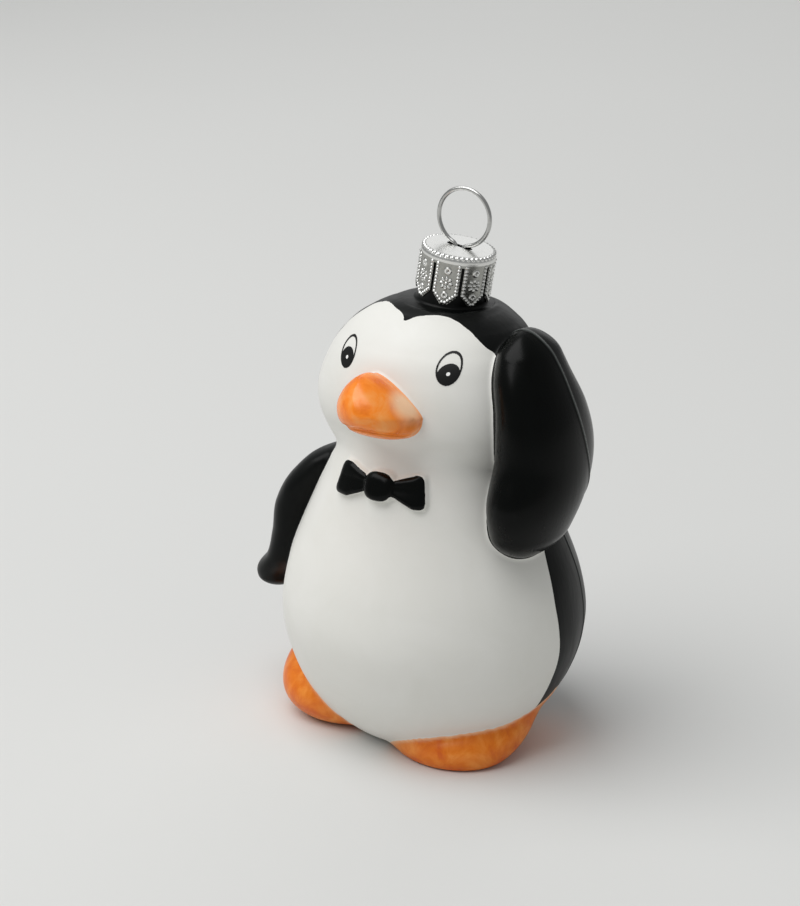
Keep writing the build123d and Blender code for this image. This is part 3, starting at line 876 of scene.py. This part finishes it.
def lacquer(name, tones, cloud, rough, shine, streak, skin_size, skin_height, painted_highlight=None, thin_or_highlight_tone=None):
    """A painted finish: tones from deep to pale, a cloud size in mm, the roughness of the deepest and the palest
    tone, the strength of its shine, a brush stretch, and the dried skin in mm. A painted highlight is a place,
    a size and a pale tone mixed in round the place. The other pale tone goes where the mesh is marked: thin paint
    along an edge, or a painted highlight on the seam's crest."""
    material, tree = new_material(name)
    place = add(tree, "ShaderNodeTexCoord").outputs["Object"]
    brush = add(tree, "ShaderNodeMapping", {"Vector": place, "Scale": (1.0, 1.0, streak)}).outputs["Vector"]
    clouds = add(
        tree,
        "ShaderNodeTexNoise",
        {"Vector": brush, "Scale": per_mm(cloud), "Detail": 5.0, "Roughness": 0.6, "Distortion": 0.6},
    )
    ramp = add(tree, "ShaderNodeValToRGB", {"Fac": clouds.outputs["Fac"]})
    stops = ramp.color_ramp.elements
    while len(stops) < len(tones):
        stops.new(0.5)
    for i, tone in enumerate(tones):
        stops[i].position = CLOUD_LOW + (CLOUD_HIGH - CLOUD_LOW) * i / (len(tones) - 1)
        stops[i].color = linear(tone)
    colour = ramp.outputs["Color"]
    # a painted highlight: a pale spot mixed into the tone round a place
    if painted_highlight:
        spot, size, tone = painted_highlight
        away = add(tree, "ShaderNodeVectorMath", {0: place, 1: [v * MM for v in spot]}, operation="DISTANCE")
        share = add(
            tree,
            "ShaderNodeMapRange",
            {
                "Value": away.outputs["Value"],
                "From Min": HIGHLIGHT_CORE * size * MM,
                "From Max": size * MM,
                "To Min": HIGHLIGHT_SHARE,
                "To Max": 0.0,
            },
            interpolation_type="SMOOTHSTEP",
        )
        mixed = add(
            tree,
            "ShaderNodeMix",
            {"Factor": share.outputs["Result"], MIX_FIRST: colour, MIX_SECOND: linear(tone)},
            data_type="RGBA",
        )
        colour = mixed.outputs[MIX_RESULT]
    # pale tone at marked points: paler ground through thin paint, or a painted highlight on the seam's crest
    if thin_or_highlight_tone:
        thin_paint_and_painted_light = add(tree, "ShaderNodeAttribute", attribute_name="thin_paint_and_painted_light").outputs["Fac"]
        mixed = add(
            tree, "ShaderNodeMix", {"Factor": thin_paint_and_painted_light, MIX_FIRST: colour, MIX_SECOND: linear(thin_or_highlight_tone)}, data_type="RGBA"
        )
        colour = mixed.outputs[MIX_RESULT]
    gloss = add(
        tree,
        "ShaderNodeMapRange",
        {
            "Value": clouds.outputs["Fac"],
            "From Min": CLOUD_LOW,
            "From Max": CLOUD_HIGH,
            "To Min": rough[0],
            "To Max": rough[1],
        },
    )
    grain = add(tree, "ShaderNodeTexNoise", {"Vector": brush, "Scale": per_mm(skin_size), "Detail": 2.0})
    bump = add(
        tree,
        "ShaderNodeBump",
        {"Height": grain.outputs["Fac"], "Strength": SKIN_STRENGTH, "Distance": skin_height * MM},
    )
    shade = add(
        tree,
        "ShaderNodeBsdfPrincipled",
        {
            "Base Color": colour,
            "Roughness": gloss.outputs["Result"],
            "Normal": bump.outputs["Normal"],
            "IOR": LACQUER_IOR,
            "Specular IOR Level": shine,
        },
    )
    add(tree, "ShaderNodeOutputMaterial", {"Surface": shade.outputs["BSDF"]})
    return material


print("lacquer bends light by an index of", LACQUER_IOR)

# %% [markdown]
# The five lacquers of the body differ in their tones and in how they were laid on. The tones were set by comparing
# the render with the photograph at single spots, one by one. A low roughness gives a sharp reflection and a high one
# a soft sheen.

# %% Mix the lacquers
SATIN = {"cloud": 9.0, "rough": (0.5, 0.45), "shine": 0.5, "streak": 1.0, "skin_size": 1.2, "skin_height": 0.015}
BRUSHED = {"cloud": 2.5, "rough": (0.4, 0.32), "shine": 0.14, "streak": 0.3, "skin_size": 0.8, "skin_height": 0.04}
GLOSSY = {"cloud": 3.0, "rough": (0.3, 0.22), "shine": 0.14, "streak": 0.3, "skin_size": 0.9, "skin_height": 0.03}
FLOWED = {"cloud": 3.4, "rough": (0.28, 0.2), "shine": 0.5, "streak": 1.0, "skin_size": 0.9, "skin_height": 0.03}
DABBED = {"cloud": 4.0, "rough": (0.38, 0.28), "shine": 0.5, "streak": 0.8, "skin_size": 0.7, "skin_height": 0.06}
# a painted highlight in grey, mixed into the black lacquer on the crest of the mould seam
PAINTED_CREST_HIGHLIGHT = "#5C605E"
# a painted highlight on the beak's cheek: its middle, its size in mm and its pale tone
BEAK_PAINTED_HIGHLIGHT = ((4.2, -14.5, 52.0), 3.4, "#FFDCB4")

# A soft warm white without a sharp highlight.
white_lacquer = lacquer("white_satin_lacquer", ("#E6E5DF", "#EAE9E4"), **SATIN)
# A black that shows the brush as grey streaks, with a painted highlight along the seam's crest.
hood_lacquer = lacquer("black_brushed_lacquer", ("#030404", "#0A0C0B"), **BRUSHED, thin_or_highlight_tone=PAINTED_CREST_HIGHLIGHT)
# The deepest black, with the lamp as one soft streak, and a painted highlight along the seam's crest.
wing_lacquer = lacquer("black_gloss_lacquer", ("#000100", "#030504"), **GLOSSY, thin_or_highlight_tone=PAINTED_CREST_HIGHLIGHT)
# A wet-looking orange with a painted highlight on one cheek of the beak, paler where it runs thin along its edge.
beak_lacquer = lacquer(
    "orange_gloss_lacquer", ("#EC7000", "#FF8C22", "#FFA452"), **FLOWED, painted_highlight=BEAK_PAINTED_HIGHLIGHT, thin_or_highlight_tone="#FFB27A"
)
# A patchy orange that lets the white through along its edge.
foot_lacquer = lacquer("orange_dabbed_lacquer", ("#D85A00", "#EA7A0C", "#F89A3C"), **DABBED, thin_or_highlight_tone="#FFD2A8")
print("lacquers:", [made.name for made in (white_lacquer, hood_lacquer, wing_lacquer, beak_lacquer, foot_lacquer)])

# %% [markdown]
# ## Films
# A coat of lacquer is a closed film: an outside, an inside a little deeper, and a rim where the brush stopped. The
# shading directions of the outside come from the distance field itself, so neighbouring coats meet without a seam.

# %% Helper for films
LACQUER_THICKNESS = 0.22


def film(name, points, faces, out, thickness, normals=None, mark=None):
    """A closed film on a surface: out above it, thickness through. A mark sets thin paint or painted light."""
    used, flat = np.unique(faces, return_inverse=True)
    faces = flat.reshape(-1, 3)
    points = points[used]
    normals = gradient(finished_skin, points) if normals is None else normals[used]
    normals /= np.maximum(np.linalg.norm(normals, axis=1, keepdims=True), TINY)
    count = len(points)
    outer, inner = points + normals * out, points + normals * (out - thickness)
    edges = np.concatenate([faces[:, (0, 1)], faces[:, (1, 2)], faces[:, (2, 0)]])
    known = {tuple(edge) for edge in edges}
    rim = np.array([(b, a, a + count, b + count) for a, b in known if (b, a) not in known]).reshape(-1, 4)
    mesh = bpy.data.meshes.new(name)
    polygons = [*faces.tolist(), *(faces[:, ::-1] + count).tolist(), *rim.tolist()]
    mesh.from_pydata((np.concatenate([outer, inner]) * MM).tolist(), [], polygons)
    mesh.polygons.foreach_set("use_smooth", np.ones(len(polygons), bool))
    corner_normals = np.zeros((len(mesh.loops), 3))
    corner_normals[: faces.size] = normals[faces.ravel()]
    corner_normals[faces.size : 2 * faces.size] = -normals[faces[:, ::-1].ravel()]
    corner_normals[2 * faces.size :] = np.repeat([p.normal for p in mesh.polygons[2 * len(faces) :]], 4, axis=0)
    mesh.normals_split_custom_set(corner_normals.tolist())
    if mark is not None:
        thin_paint_and_painted_light = mesh.attributes.new("thin_paint_and_painted_light", "FLOAT", "POINT")
        thin_paint_and_painted_light.data.foreach_set("value", np.tile(mark[used], 2).astype(np.float32))
    return placed(name, mesh)


print("a film of lacquer is", LACQUER_THICKNESS, "mm thick")

# %% [markdown]
# ## The coats
# Every colour zone becomes a film that stands for the CAD solid of the same coat and rides on the figure.
# The crest of the mould seam gets a painted highlight, and the edge of a dab is thin where the brush lifts.

# %% Make the coats
# the crest's painted highlight takes this share of the seam's width; thin paint at an edge takes this much pale tone
HIGHLIGHT_CREST_SHARE, EDGE_SHARE = 0.6, 0.8
BEAK_EDGE, FOOT_EDGE = 0.35, 0.4
COATS = {
    # CAD node: finish, slot
    "white_coat": (white_lacquer, "white_lacquer"),
    "black_coat": (hood_lacquer, "black_lacquer"),
    "raised_wing_coat": (wing_lacquer, "black_lacquer"),
    "lowered_wing_coat": (hood_lacquer, "black_lacquer"),
    "bow_tie_coat": (wing_lacquer, "black_lacquer"),
    "beak_coat": (beak_lacquer, "orange_lacquer"),
    "left_foot_coat": (foot_lacquer, "orange_lacquer"),
    "right_foot_coat": (foot_lacquer, "orange_lacquer"),
}


def dressed(piece, material, body, slot, *nodes):
    """Gives a piece its finish, its body and the CAD nodes that it stands for."""
    piece.data.materials.append(material)
    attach(piece, body)
    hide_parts(*nodes)


def crest_painted_highlight(points):
    """A painted highlight along the crest of the mould seam."""
    return seam_share(*points.T, SEAM_HALF * HIGHLIGHT_CREST_SHARE)


def along_the_edge(name, width):
    """A brush leaves less paint along the edge of a coat."""
    return np.exp(-((dict(ZONES)[name](points) / width) ** 2)) * EDGE_SHARE


# painted highlight on the seam's crest for the black coats, thin paint along the edges of the orange coats
thin_paint_and_highlight_places = {
    "black_coat": crest_painted_highlight(points),
    "raised_wing_coat": crest_painted_highlight(points),
    "beak_coat": along_the_edge("beak_coat", BEAK_EDGE),
    "left_foot_coat": along_the_edge("left_foot_coat", FOOT_EDGE),
    "right_foot_coat": along_the_edge("right_foot_coat", FOOT_EDGE),
}
for name, (material, slot) in COATS.items():
    piece = film("painted_" + name, points, zones[name], 0.0, LACQUER_THICKNESS, mark=thin_paint_and_highlight_places.get(name))
    dressed(piece, material, "figure", slot, name)
print("coats:", len(COATS))

# %% [markdown]
# ## Eyes
# Each eye is drawn with a fine brush: an oval line, a pupil that fills its lower part, and a white dot. As for the
# coats, the drawing is a field, positive where there is paint. It is drawn flat, as it is seen from the front.

# %% Draw an eye
EYE_LINE = 0.2
PUPIL_HALF_WIDTH, PUPIL_HALF_HEIGHT, PUPIL_SIDE, PUPIL_LEVEL = 1.32, 1.28, -0.06, -0.68
GLINT_RADIUS, GLINT_LEVEL = 0.23, -0.62


def eye_fields(across, level, half_width, half_height, lean):
    """The dark drawing and the white dot of one eye, as fields on points of the skin."""
    c, s = math.cos(math.radians(lean)), math.sin(math.radians(lean))

    def drawing(points):
        u, v = points[:, 0] - across, points[:, 2] - level
        return c * u + s * v, c * v - s * u

    def dot(points):
        u, v = drawing(points)
        return GLINT_RADIUS - np.hypot(u, v - GLINT_LEVEL)

    def dark(points):
        u, v = drawing(points)
        oval = (1 - np.hypot(u / half_width, v / half_height)) * half_width
        round_pupil = 1 - np.hypot((u - PUPIL_SIDE) / PUPIL_HALF_WIDTH, (v - PUPIL_LEVEL) / PUPIL_HALF_HEIGHT)
        pupil = np.minimum(oval, round_pupil * PUPIL_HALF_HEIGHT)
        line = np.minimum(oval, EYE_LINE - oval)
        return np.minimum(np.maximum(pupil, line), -dot(points))

    return dark, dot


print("pupil:", 2 * PUPIL_HALF_WIDTH, "mm wide, dot:", 2 * GLINT_RADIUS, "mm")

# %% [markdown]
# A fine square grid in the front view is pushed straight back until it lies on the skin of the face. The drawing is
# then cut out of it along its own edges, and becomes a film like the coats.

# %% Paint the eyes
EYE_STEP, EYE_MARGIN = 0.06, 0.3
EYE_PAINT = 0.05
FACE_FRONT, FACE_PULLS, FACE_SLOPE = -14.0, 12, -0.2
EYES = (
    # name, middle across, level, half width, half height, lean in degrees
    ("left_eye", 7.85, 56.5, 1.5, 2.03, 13.0),
    ("right_eye", -7.85, 56.45, 1.5, 1.95, 10.0),
)


def on_skin(x, z):
    """Points on the skin seen straight from the front."""
    y = np.full_like(x, FACE_FRONT)
    for _ in range(FACE_PULLS):
        near = np.stack([x, y, z], axis=1)
        y = y - np.clip(skin(x, y, z) / np.minimum(gradient(skin, near)[:, 1], FACE_SLOPE), -1, 1)
    return np.stack([x, y, z], axis=1)


FINE = {"streak": 1.0, "skin_size": 0.6, "skin_height": 0.01}
# A thin matt black line, and a dot that stays the brightest white.
eye_black = lacquer("black_eye_enamel", ("#050505", "#0A0A0A"), cloud=1.5, rough=(0.45, 0.4), shine=0.3, **FINE)
eye_white = lacquer("white_eye_enamel", ("#F2F2F0", "#F8F8F6"), cloud=1.0, rough=(0.4, 0.35), shine=0.5, **FINE)
for name, across, level, half_width, half_height, lean in EYES:
    columns = np.arange(-half_height - EYE_MARGIN, half_height + EYE_MARGIN, EYE_STEP)
    count = len(columns)
    u, v = np.meshgrid(across + columns, level + columns, indexing="ij")
    patch = on_skin(u.ravel(), v.ravel())
    index = np.arange(count * count).reshape(count, count)
    a, b, c, d = index[:-1, :-1].ravel(), index[1:, :-1].ravel(), index[1:, 1:].ravel(), index[:-1, 1:].ravel()
    patch_faces = np.concatenate([np.stack([a, b, c], 1), np.stack([a, c, d], 1)])
    dark, dot = eye_fields(across, level, half_width, half_height, lean)
    patch, painted, _ = cut(patch, patch_faces, dark)
    drawing = film(name + "_drawing", patch, painted, EYE_PAINT, EYE_PAINT * 2)
    dressed(drawing, eye_black, "figure", "black_lacquer", name + "_paint")
    patch, painted, _ = cut(patch, patch_faces, dot)
    glint = film(name + "_dot", patch, painted, EYE_PAINT, EYE_PAINT * 2)
    dressed(glint, eye_white, "figure", "white_lacquer", name + "_glint")
print("eyes:", [row[0] for row in EYES])

# %% [markdown]
# ## Glass
# Under the lacquer is the bubble itself, an even wall with an open neck. It shows only under the feet and at the rim,
# but it is there, so light passes through it as through real glass. Blowing leaves slow waves in it, called cords.

# %% Blow the glass
GLASS_WALL = 0.9
GLASS_IOR, GLASS_ROUGH = 1.52, 0.03
CORD_SIZE, CORD_HEIGHT = 5.0, 0.05


def glass(x, y, z):
    """Distance to the hollow bubble, flat underneath and open at the neck."""
    outside = glass_outside(x, y, z)
    rise, off = neck_place(x, y, z)
    bore = np.maximum(off - NECK_BORE, -rise - NECK_LENGTH)
    hollow = np.minimum(np.maximum(outside, -z) + GLASS_WALL, bore)
    return np.maximum(np.maximum(outside, -z), -hollow)


glass_points, glass_faces = drawn(glass, glass_low - GRID_MARGIN, glass_high + GRID_MARGIN)
mesh = bpy.data.meshes.new("blown_glass")
mesh.from_pydata((glass_points * MM).tolist(), [], glass_faces.tolist())
mesh.polygons.foreach_set("use_smooth", np.ones(len(mesh.polygons), bool))
bubble = placed("blown_glass", mesh)

soda_glass, tree = new_material("clear_soda_glass")
place = add(tree, "ShaderNodeTexCoord").outputs["Object"]
cords = add(tree, "ShaderNodeTexNoise", {"Vector": place, "Scale": per_mm(CORD_SIZE), "Detail": 1.0})
wave = add(tree, "ShaderNodeBump", {"Height": cords.outputs["Fac"], "Strength": 0.3, "Distance": CORD_HEIGHT * MM})
shade = add(
    tree,
    "ShaderNodeBsdfPrincipled",
    {
        "Base Color": linear("#EEF3F1"),
        "Normal": wave.outputs["Normal"],
        "Roughness": GLASS_ROUGH,
        "IOR": GLASS_IOR,
        "Transmission Weight": 1.0,
    },
)
add(tree, "ShaderNodeOutputMaterial", {"Surface": shade.outputs["BSDF"]})
dressed(bubble, soda_glass, "figure", "blown_glass", "glass_body")
print("glass:", len(glass_faces), "triangles")

# %% [markdown]
# ## Crown cap
# The cap is stamped from thin tinplate: a flat top with a slot, a rounded shoulder with a ring of beads, and a skirt
# slit into pointed tabs. Each tab carries a beaded border, a rosette and two small rings. One could model a tab and
# copy it round. Here one fine grid is wrapped over the whole cup, its relief is added square to the metal, and the
# slits, points and slot are cut with the same tool as the paint. The grid runs from the slot over the top and the
# shoulder down the skirt, so each point has a run along the metal and an angle round the neck.

# %% Lay out the sheet of tinplate
CAP_RADIUS, CAP_TOP, CAP_HEIGHT, CAP_SHOULDER = 5.14, 0.3, 6.9, 0.8
CAP_METAL = 0.18
CAP_TABS, TAB_TURN = 8, 39.0
TAB_BAND, TAB_SLIT, TAB_POINT, TAB_BLUNT = 1.4, 0.42, 1.45, 0.45
SLOT_HALF_LENGTH, SLOT_HALF_WIDTH, SLOT_START = 1.95, 0.45, 0.8
PLATE_RINGS, STEPS_PER_TAB = 17, 56
CAP_STEP = 0.075

skirt_low = CAP_TOP - CAP_HEIGHT
tab_half = CAP_RADIUS * math.pi / CAP_TABS - TAB_SLIT / 2
shoulder_arc = CAP_SHOULDER * math.pi / 2
plate_reach = CAP_RADIUS - CAP_SHOULDER
profile = np.concatenate(
    [
        np.linspace(SLOT_HALF_WIDTH * SLOT_START, plate_reach, PLATE_RINGS + 1)[:-1],
        plate_reach + np.arange(0, shoulder_arc + CAP_HEIGHT - CAP_SHOULDER, CAP_STEP),
        [plate_reach + shoulder_arc + CAP_HEIGHT - CAP_SHOULDER],
    ]
)
steps_round = CAP_TABS * STEPS_PER_TAB
angles = np.arange(steps_round) * 2 * math.pi / steps_round
run, angle = [grid.ravel() for grid in np.meshgrid(profile, angles, indexing="ij")]
print("cap grid:", len(profile), "by", steps_round)

# %% [markdown]
# The stamp lifts the metal in beads, petals and rings. Each is a dome round a point or a line on the flat tab, and
# the highest one wins. All tabs are alike, so a point is first brought back to the middle of its own tab.

# %% Stamp the relief
BEAD_RADIUS, BEAD_PITCH, BEAD_INSET, BEAD_HEIGHT = 0.23, 0.48, 0.3, 0.85
BORDER_START = 0.55
RIM_BEADS, RIM_BEAD_RADIUS, RIM_BEAD_HEIGHT, RIM_BEAD_PLACE = 44, 0.3, 0.7, 0.45
PETALS, PETAL_OUT, PETAL_STRETCH, PETAL_RADIUS, PETAL_HEIGHT = 8, 0.66, 1.6, 0.2, 0.9
ROSETTE_DROP, ROSETTE_EYE = 0.05, 0.22
RING_ABOVE, RING_BELOW, RING_RADIUS, RING_HALF, RING_HEIGHT = 1.75, 1.7, 0.34, 0.18, 0.9


def tab_place(angle, run):
    """Where a point of the skirt lies on its tab: across from its middle, and its height on the neck's axis."""
    pitch = 2 * math.pi / CAP_TABS
    start = math.radians(TAB_TURN)
    across = ((angle - start) % pitch - pitch / 2) * CAP_RADIUS
    height = CAP_TOP - CAP_SHOULDER - (run - plate_reach - shoulder_arc)
    return across, height


def tab_border():
    """The middles of the beads along one tab's border."""
    half = tab_half - BEAD_INSET
    low = skirt_low + BEAD_INSET
    corner = skirt_low + TAB_POINT + BEAD_INSET / 3
    top = CAP_TOP - CAP_SHOULDER - BORDER_START
    corners = [(half, top), (half, corner), (TAB_BLUNT / 2, low)]
    path = corners + [(-a, b) for a, b in reversed(corners)]
    beads = []
    for (a, b), (c, d) in zip(path, path[1:]):
        count = max(round(math.hypot(c - a, d - b) / BEAD_PITCH), 1)
        beads += [(a + (c - a) * i / count, b + (d - b) * i / count) for i in range(count)]
    return beads + [path[-1]]


def dome(distance, radius):
    """The height of a round bead at a distance from its middle."""
    return np.sqrt(np.maximum(radius**2 - distance**2, 0)) * BEAD_HEIGHT


def relief(angle, run):
    """How far the stamping lifts the metal."""
    across, height = tab_place(angle, run)
    lift = np.zeros_like(across)
    for a, b in tab_border():
        lift = np.maximum(lift, dome(np.hypot(across - a, height - b), BEAD_RADIUS))
    middle = (skirt_low + CAP_TOP - CAP_SHOULDER) / 2 - ROSETTE_DROP
    for petal in range(PETALS):
        way = 2 * math.pi * petal / PETALS
        u = across * math.cos(way) + (height - middle) * math.sin(way)
        v = (height - middle) * math.cos(way) - across * math.sin(way)
        lift = np.maximum(lift, PETAL_HEIGHT * dome(np.hypot((u - PETAL_OUT) / PETAL_STRETCH, v), PETAL_RADIUS))
    lift = np.maximum(lift, dome(np.hypot(across, height - middle), ROSETTE_EYE))
    for level in (middle + RING_ABOVE, middle - RING_BELOW):
        ring = np.abs(np.hypot(across, height - level) - RING_RADIUS)
        lift = np.maximum(lift, RING_HEIGHT * dome(ring, RING_HALF))
    around = (angle * RIM_BEADS / (2 * math.pi)) % 1 - 0.5
    past = run - plate_reach - shoulder_arc * RIM_BEAD_PLACE
    off = np.hypot(around * 2 * math.pi * CAP_RADIUS / RIM_BEADS, past)
    return np.maximum(lift, RIM_BEAD_HEIGHT * dome(off, RIM_BEAD_RADIUS))


print("beads round a tab:", len(tab_border()), "relief in mm:", round(float(relief(angle, run).max()), 2))

# %% [markdown]
# Now the sheet is drawn to a cup: flat to the shoulder, round over it and straight down the skirt. The tabs are a
# little flat, as in the photograph. The relief stands out square to the metal.

# %% Draw the cup
FACET_SHARE, FACET_FADE = 0.25, 1.5
turned = np.clip((run - plate_reach) / shoulder_arc, 0, 1) * math.pi / 2
down = np.maximum(run - plate_reach - shoulder_arc, 0)
radius = np.minimum(run, plate_reach) + CAP_SHOULDER * np.sin(turned)
level = CAP_TOP - CAP_SHOULDER * (1 - np.cos(turned)) - down
across, _ = tab_place(angle, run)
flat = math.cos(math.pi / CAP_TABS) / np.cos(across / CAP_RADIUS)
radius *= 1 + FACET_SHARE * (flat - 1) * np.clip(down / FACET_FADE, 0, 1)
outward = np.stack([np.cos(angle) * np.sin(turned), np.sin(angle) * np.sin(turned), np.cos(turned)], axis=1)
cap_points = np.stack([radius * np.cos(angle), radius * np.sin(angle), level], axis=1)
cap_points += outward * relief(angle, run)[:, None]

rows = len(profile)
index = np.arange(rows * steps_round).reshape(rows, steps_round)
a, d = index[:-1].ravel(), index[1:].ravel()
b, c = np.roll(index, -1, axis=1)[:-1].ravel(), np.roll(index, -1, axis=1)[1:].ravel()
cap_faces = np.concatenate([np.stack([a, d, c], 1), np.stack([a, c, b], 1)])
print("cup:", len(cap_faces), "triangles before the cuts")

# %% [markdown]
# The cut needs to know each point's place on its tab. A new point on a cut edge lies on the metal, so its place is
# found again from its angle and its height. The same places set the painted light on the metal: a full painted
# highlight on the raised beads, less on the top, and painted shade in the hollows.

# %% Cut the slits, the points and the slot
TAB_TRIM = 0.02
# painted light on the cap: the top's share of the painted highlight, and the share of a bead's height lit fully
TOP_PAINTED_LIGHT, BEAD_PAINTED_LIGHT = 0.7, 0.6


def tab_field(points):
    """Positive on the metal of the skirt, negative in the slits and beyond the points."""
    pitch = 2 * math.pi / CAP_TABS
    way = np.arctan2(points[:, 1], points[:, 0])
    across = np.abs(((way - math.radians(TAB_TURN)) % pitch - pitch / 2) * CAP_RADIUS)
    height = points[:, 2]
    slant = math.atan2(tab_half - TAB_BLUNT, TAB_POINT)
    point = (height - skirt_low) * math.sin(slant) - (across - TAB_BLUNT) * math.cos(slant)
    tab = np.minimum(np.minimum(tab_half - across, point), height - skirt_low - TAB_TRIM)
    band = height - (CAP_TOP - TAB_BAND)
    return np.maximum(tab, band)


def slot_field(points):
    """Positive outside the slot in the top."""
    x, y, z = np.abs(points).T
    gap = np.hypot(np.maximum(x - SLOT_HALF_LENGTH + SLOT_HALF_WIDTH, 0), y) - SLOT_HALF_WIDTH
    return np.where(points[:, 2] > CAP_TOP - CAP_METAL, gap, FAR_OFF)


cap_points, cap_faces, _ = cut(cap_points, cap_faces, tab_field)
cap_points, cap_faces, _ = cut(cap_points, cap_faces, slot_field)
side_axis = np.array([neck_axis[2], 0, -neck_axis[0]])
neck_turn = np.stack([side_axis, np.cross(neck_axis, side_axis), neck_axis])
corners = cap_points[cap_faces]
normals = np.zeros_like(cap_points)
for corner in range(3):
    np.add.at(normals, cap_faces[:, corner], np.cross(corners[:, 1] - corners[:, 0], corners[:, 2] - corners[:, 0]))
# painted highlight on the raised beads and the top, painted shade in the hollows
way = np.arctan2(cap_points[:, 1], cap_points[:, 0])
fallen = CAP_TOP - CAP_SHOULDER - cap_points[:, 2]
raised = relief(way, plate_reach + shoulder_arc + fallen) / (BEAD_RADIUS * BEAD_PAINTED_LIGHT)
painted_relief_light = np.clip(np.where(fallen > BEAD_INSET, raised, TOP_PAINTED_LIGHT), 0, 1)
cap_points, normals = cap_points @ neck_turn + neck_rim, normals @ neck_turn
cap = film("stamped_cap", cap_points, cap_faces, 0.0, CAP_METAL, normals, mark=painted_relief_light)
print("cap:", len(cap_faces), "triangles outside")

# %% [markdown]
# ## Tinplate
# The cap is tin-plated steel. Its tone is painted light: a painted highlight on the top and on the raised beads,
# and painted shade in the hollows between. The mark on the mesh mixes the two. Metals keep the default index of
# refraction.

# %% Tinplate for the cap
DULL_SIZE, SCUFF_HEIGHT = 0.8, 0.01
tinplate, tree = new_material("stamped_tinplate")
place = add(tree, "ShaderNodeTexCoord").outputs["Object"]
dull = add(tree, "ShaderNodeTexNoise", {"Vector": place, "Scale": per_mm(DULL_SIZE), "Detail": 3.0})
tone = add(tree, "ShaderNodeValToRGB", {"Fac": dull.outputs["Fac"]})
# painted shade: the dull tones of the hollows
tone.color_ramp.elements[0].color = linear("#94948F")
tone.color_ramp.elements[1].color = linear("#B4B4B0")
painted_light_share = add(tree, "ShaderNodeAttribute", attribute_name="thin_paint_and_painted_light").outputs["Fac"]
# painted highlight: the bright tone of the beads and the top, mixed in by the mark
mixed = add(
    tree,
    "ShaderNodeMix",
    {"Factor": painted_light_share, MIX_FIRST: tone.outputs["Color"], MIX_SECOND: linear("#F6F6F4")},
    data_type="RGBA",
)
gloss = add(tree, "ShaderNodeMapRange", {"Value": dull.outputs["Fac"], "To Min": 0.34, "To Max": 0.2})
scuff = add(tree, "ShaderNodeBump", {"Height": dull.outputs["Fac"], "Strength": 0.3, "Distance": SCUFF_HEIGHT * MM})
shade = add(
    tree,
    "ShaderNodeBsdfPrincipled",
    {
        "Base Color": mixed.outputs[MIX_RESULT],
        "Metallic": 1.0,
        "Roughness": gloss.outputs["Result"],
        "Normal": scuff.outputs["Normal"],
    },
)
add(tree, "ShaderNodeOutputMaterial", {"Surface": shade.outputs["BSDF"]})
dressed(cap, tinplate, "cap", "stamped_tinplate", "crown_cap")
print("cap wears", cap.data.materials[0].name)

# %% [markdown]
# ## Wire
# The ring is spring steel drawn through a die, which leaves fine lines. They are drawn coarser than they are, and
# show as a slight unevenness of tone. The CAD wire is already as round as the real one, so it only gets a finish.

# %% Steel for the wire
WIRE_LINES = 0.3
drawn_wire, tree = new_material("drawn_steel_wire")
place = add(tree, "ShaderNodeTexCoord").outputs["Object"]
lines = add(tree, "ShaderNodeTexNoise", {"Vector": place, "Scale": per_mm(WIRE_LINES), "Detail": 2.0})
tone = add(tree, "ShaderNodeValToRGB", {"Fac": lines.outputs["Fac"]})
tone.color_ramp.elements[0].color = linear("#A9A9A7")
tone.color_ramp.elements[1].color = linear("#CFCFCD")
gloss = add(tree, "ShaderNodeMapRange", {"Value": lines.outputs["Fac"], "To Min": 0.3, "To Max": 0.2})
shade = add(
    tree,
    "ShaderNodeBsdfPrincipled",
    {"Base Color": tone.outputs["Color"], "Metallic": 1.0, "Roughness": gloss.outputs["Result"]},
)
add(tree, "ShaderNodeOutputMaterial", {"Surface": shade.outputs["BSDF"]})
wire = frame["nodes"]["hanger_wire"]
wire.data.materials.clear()
wire.data.materials.append(drawn_wire)
print("wire wears", drawn_wire.name)
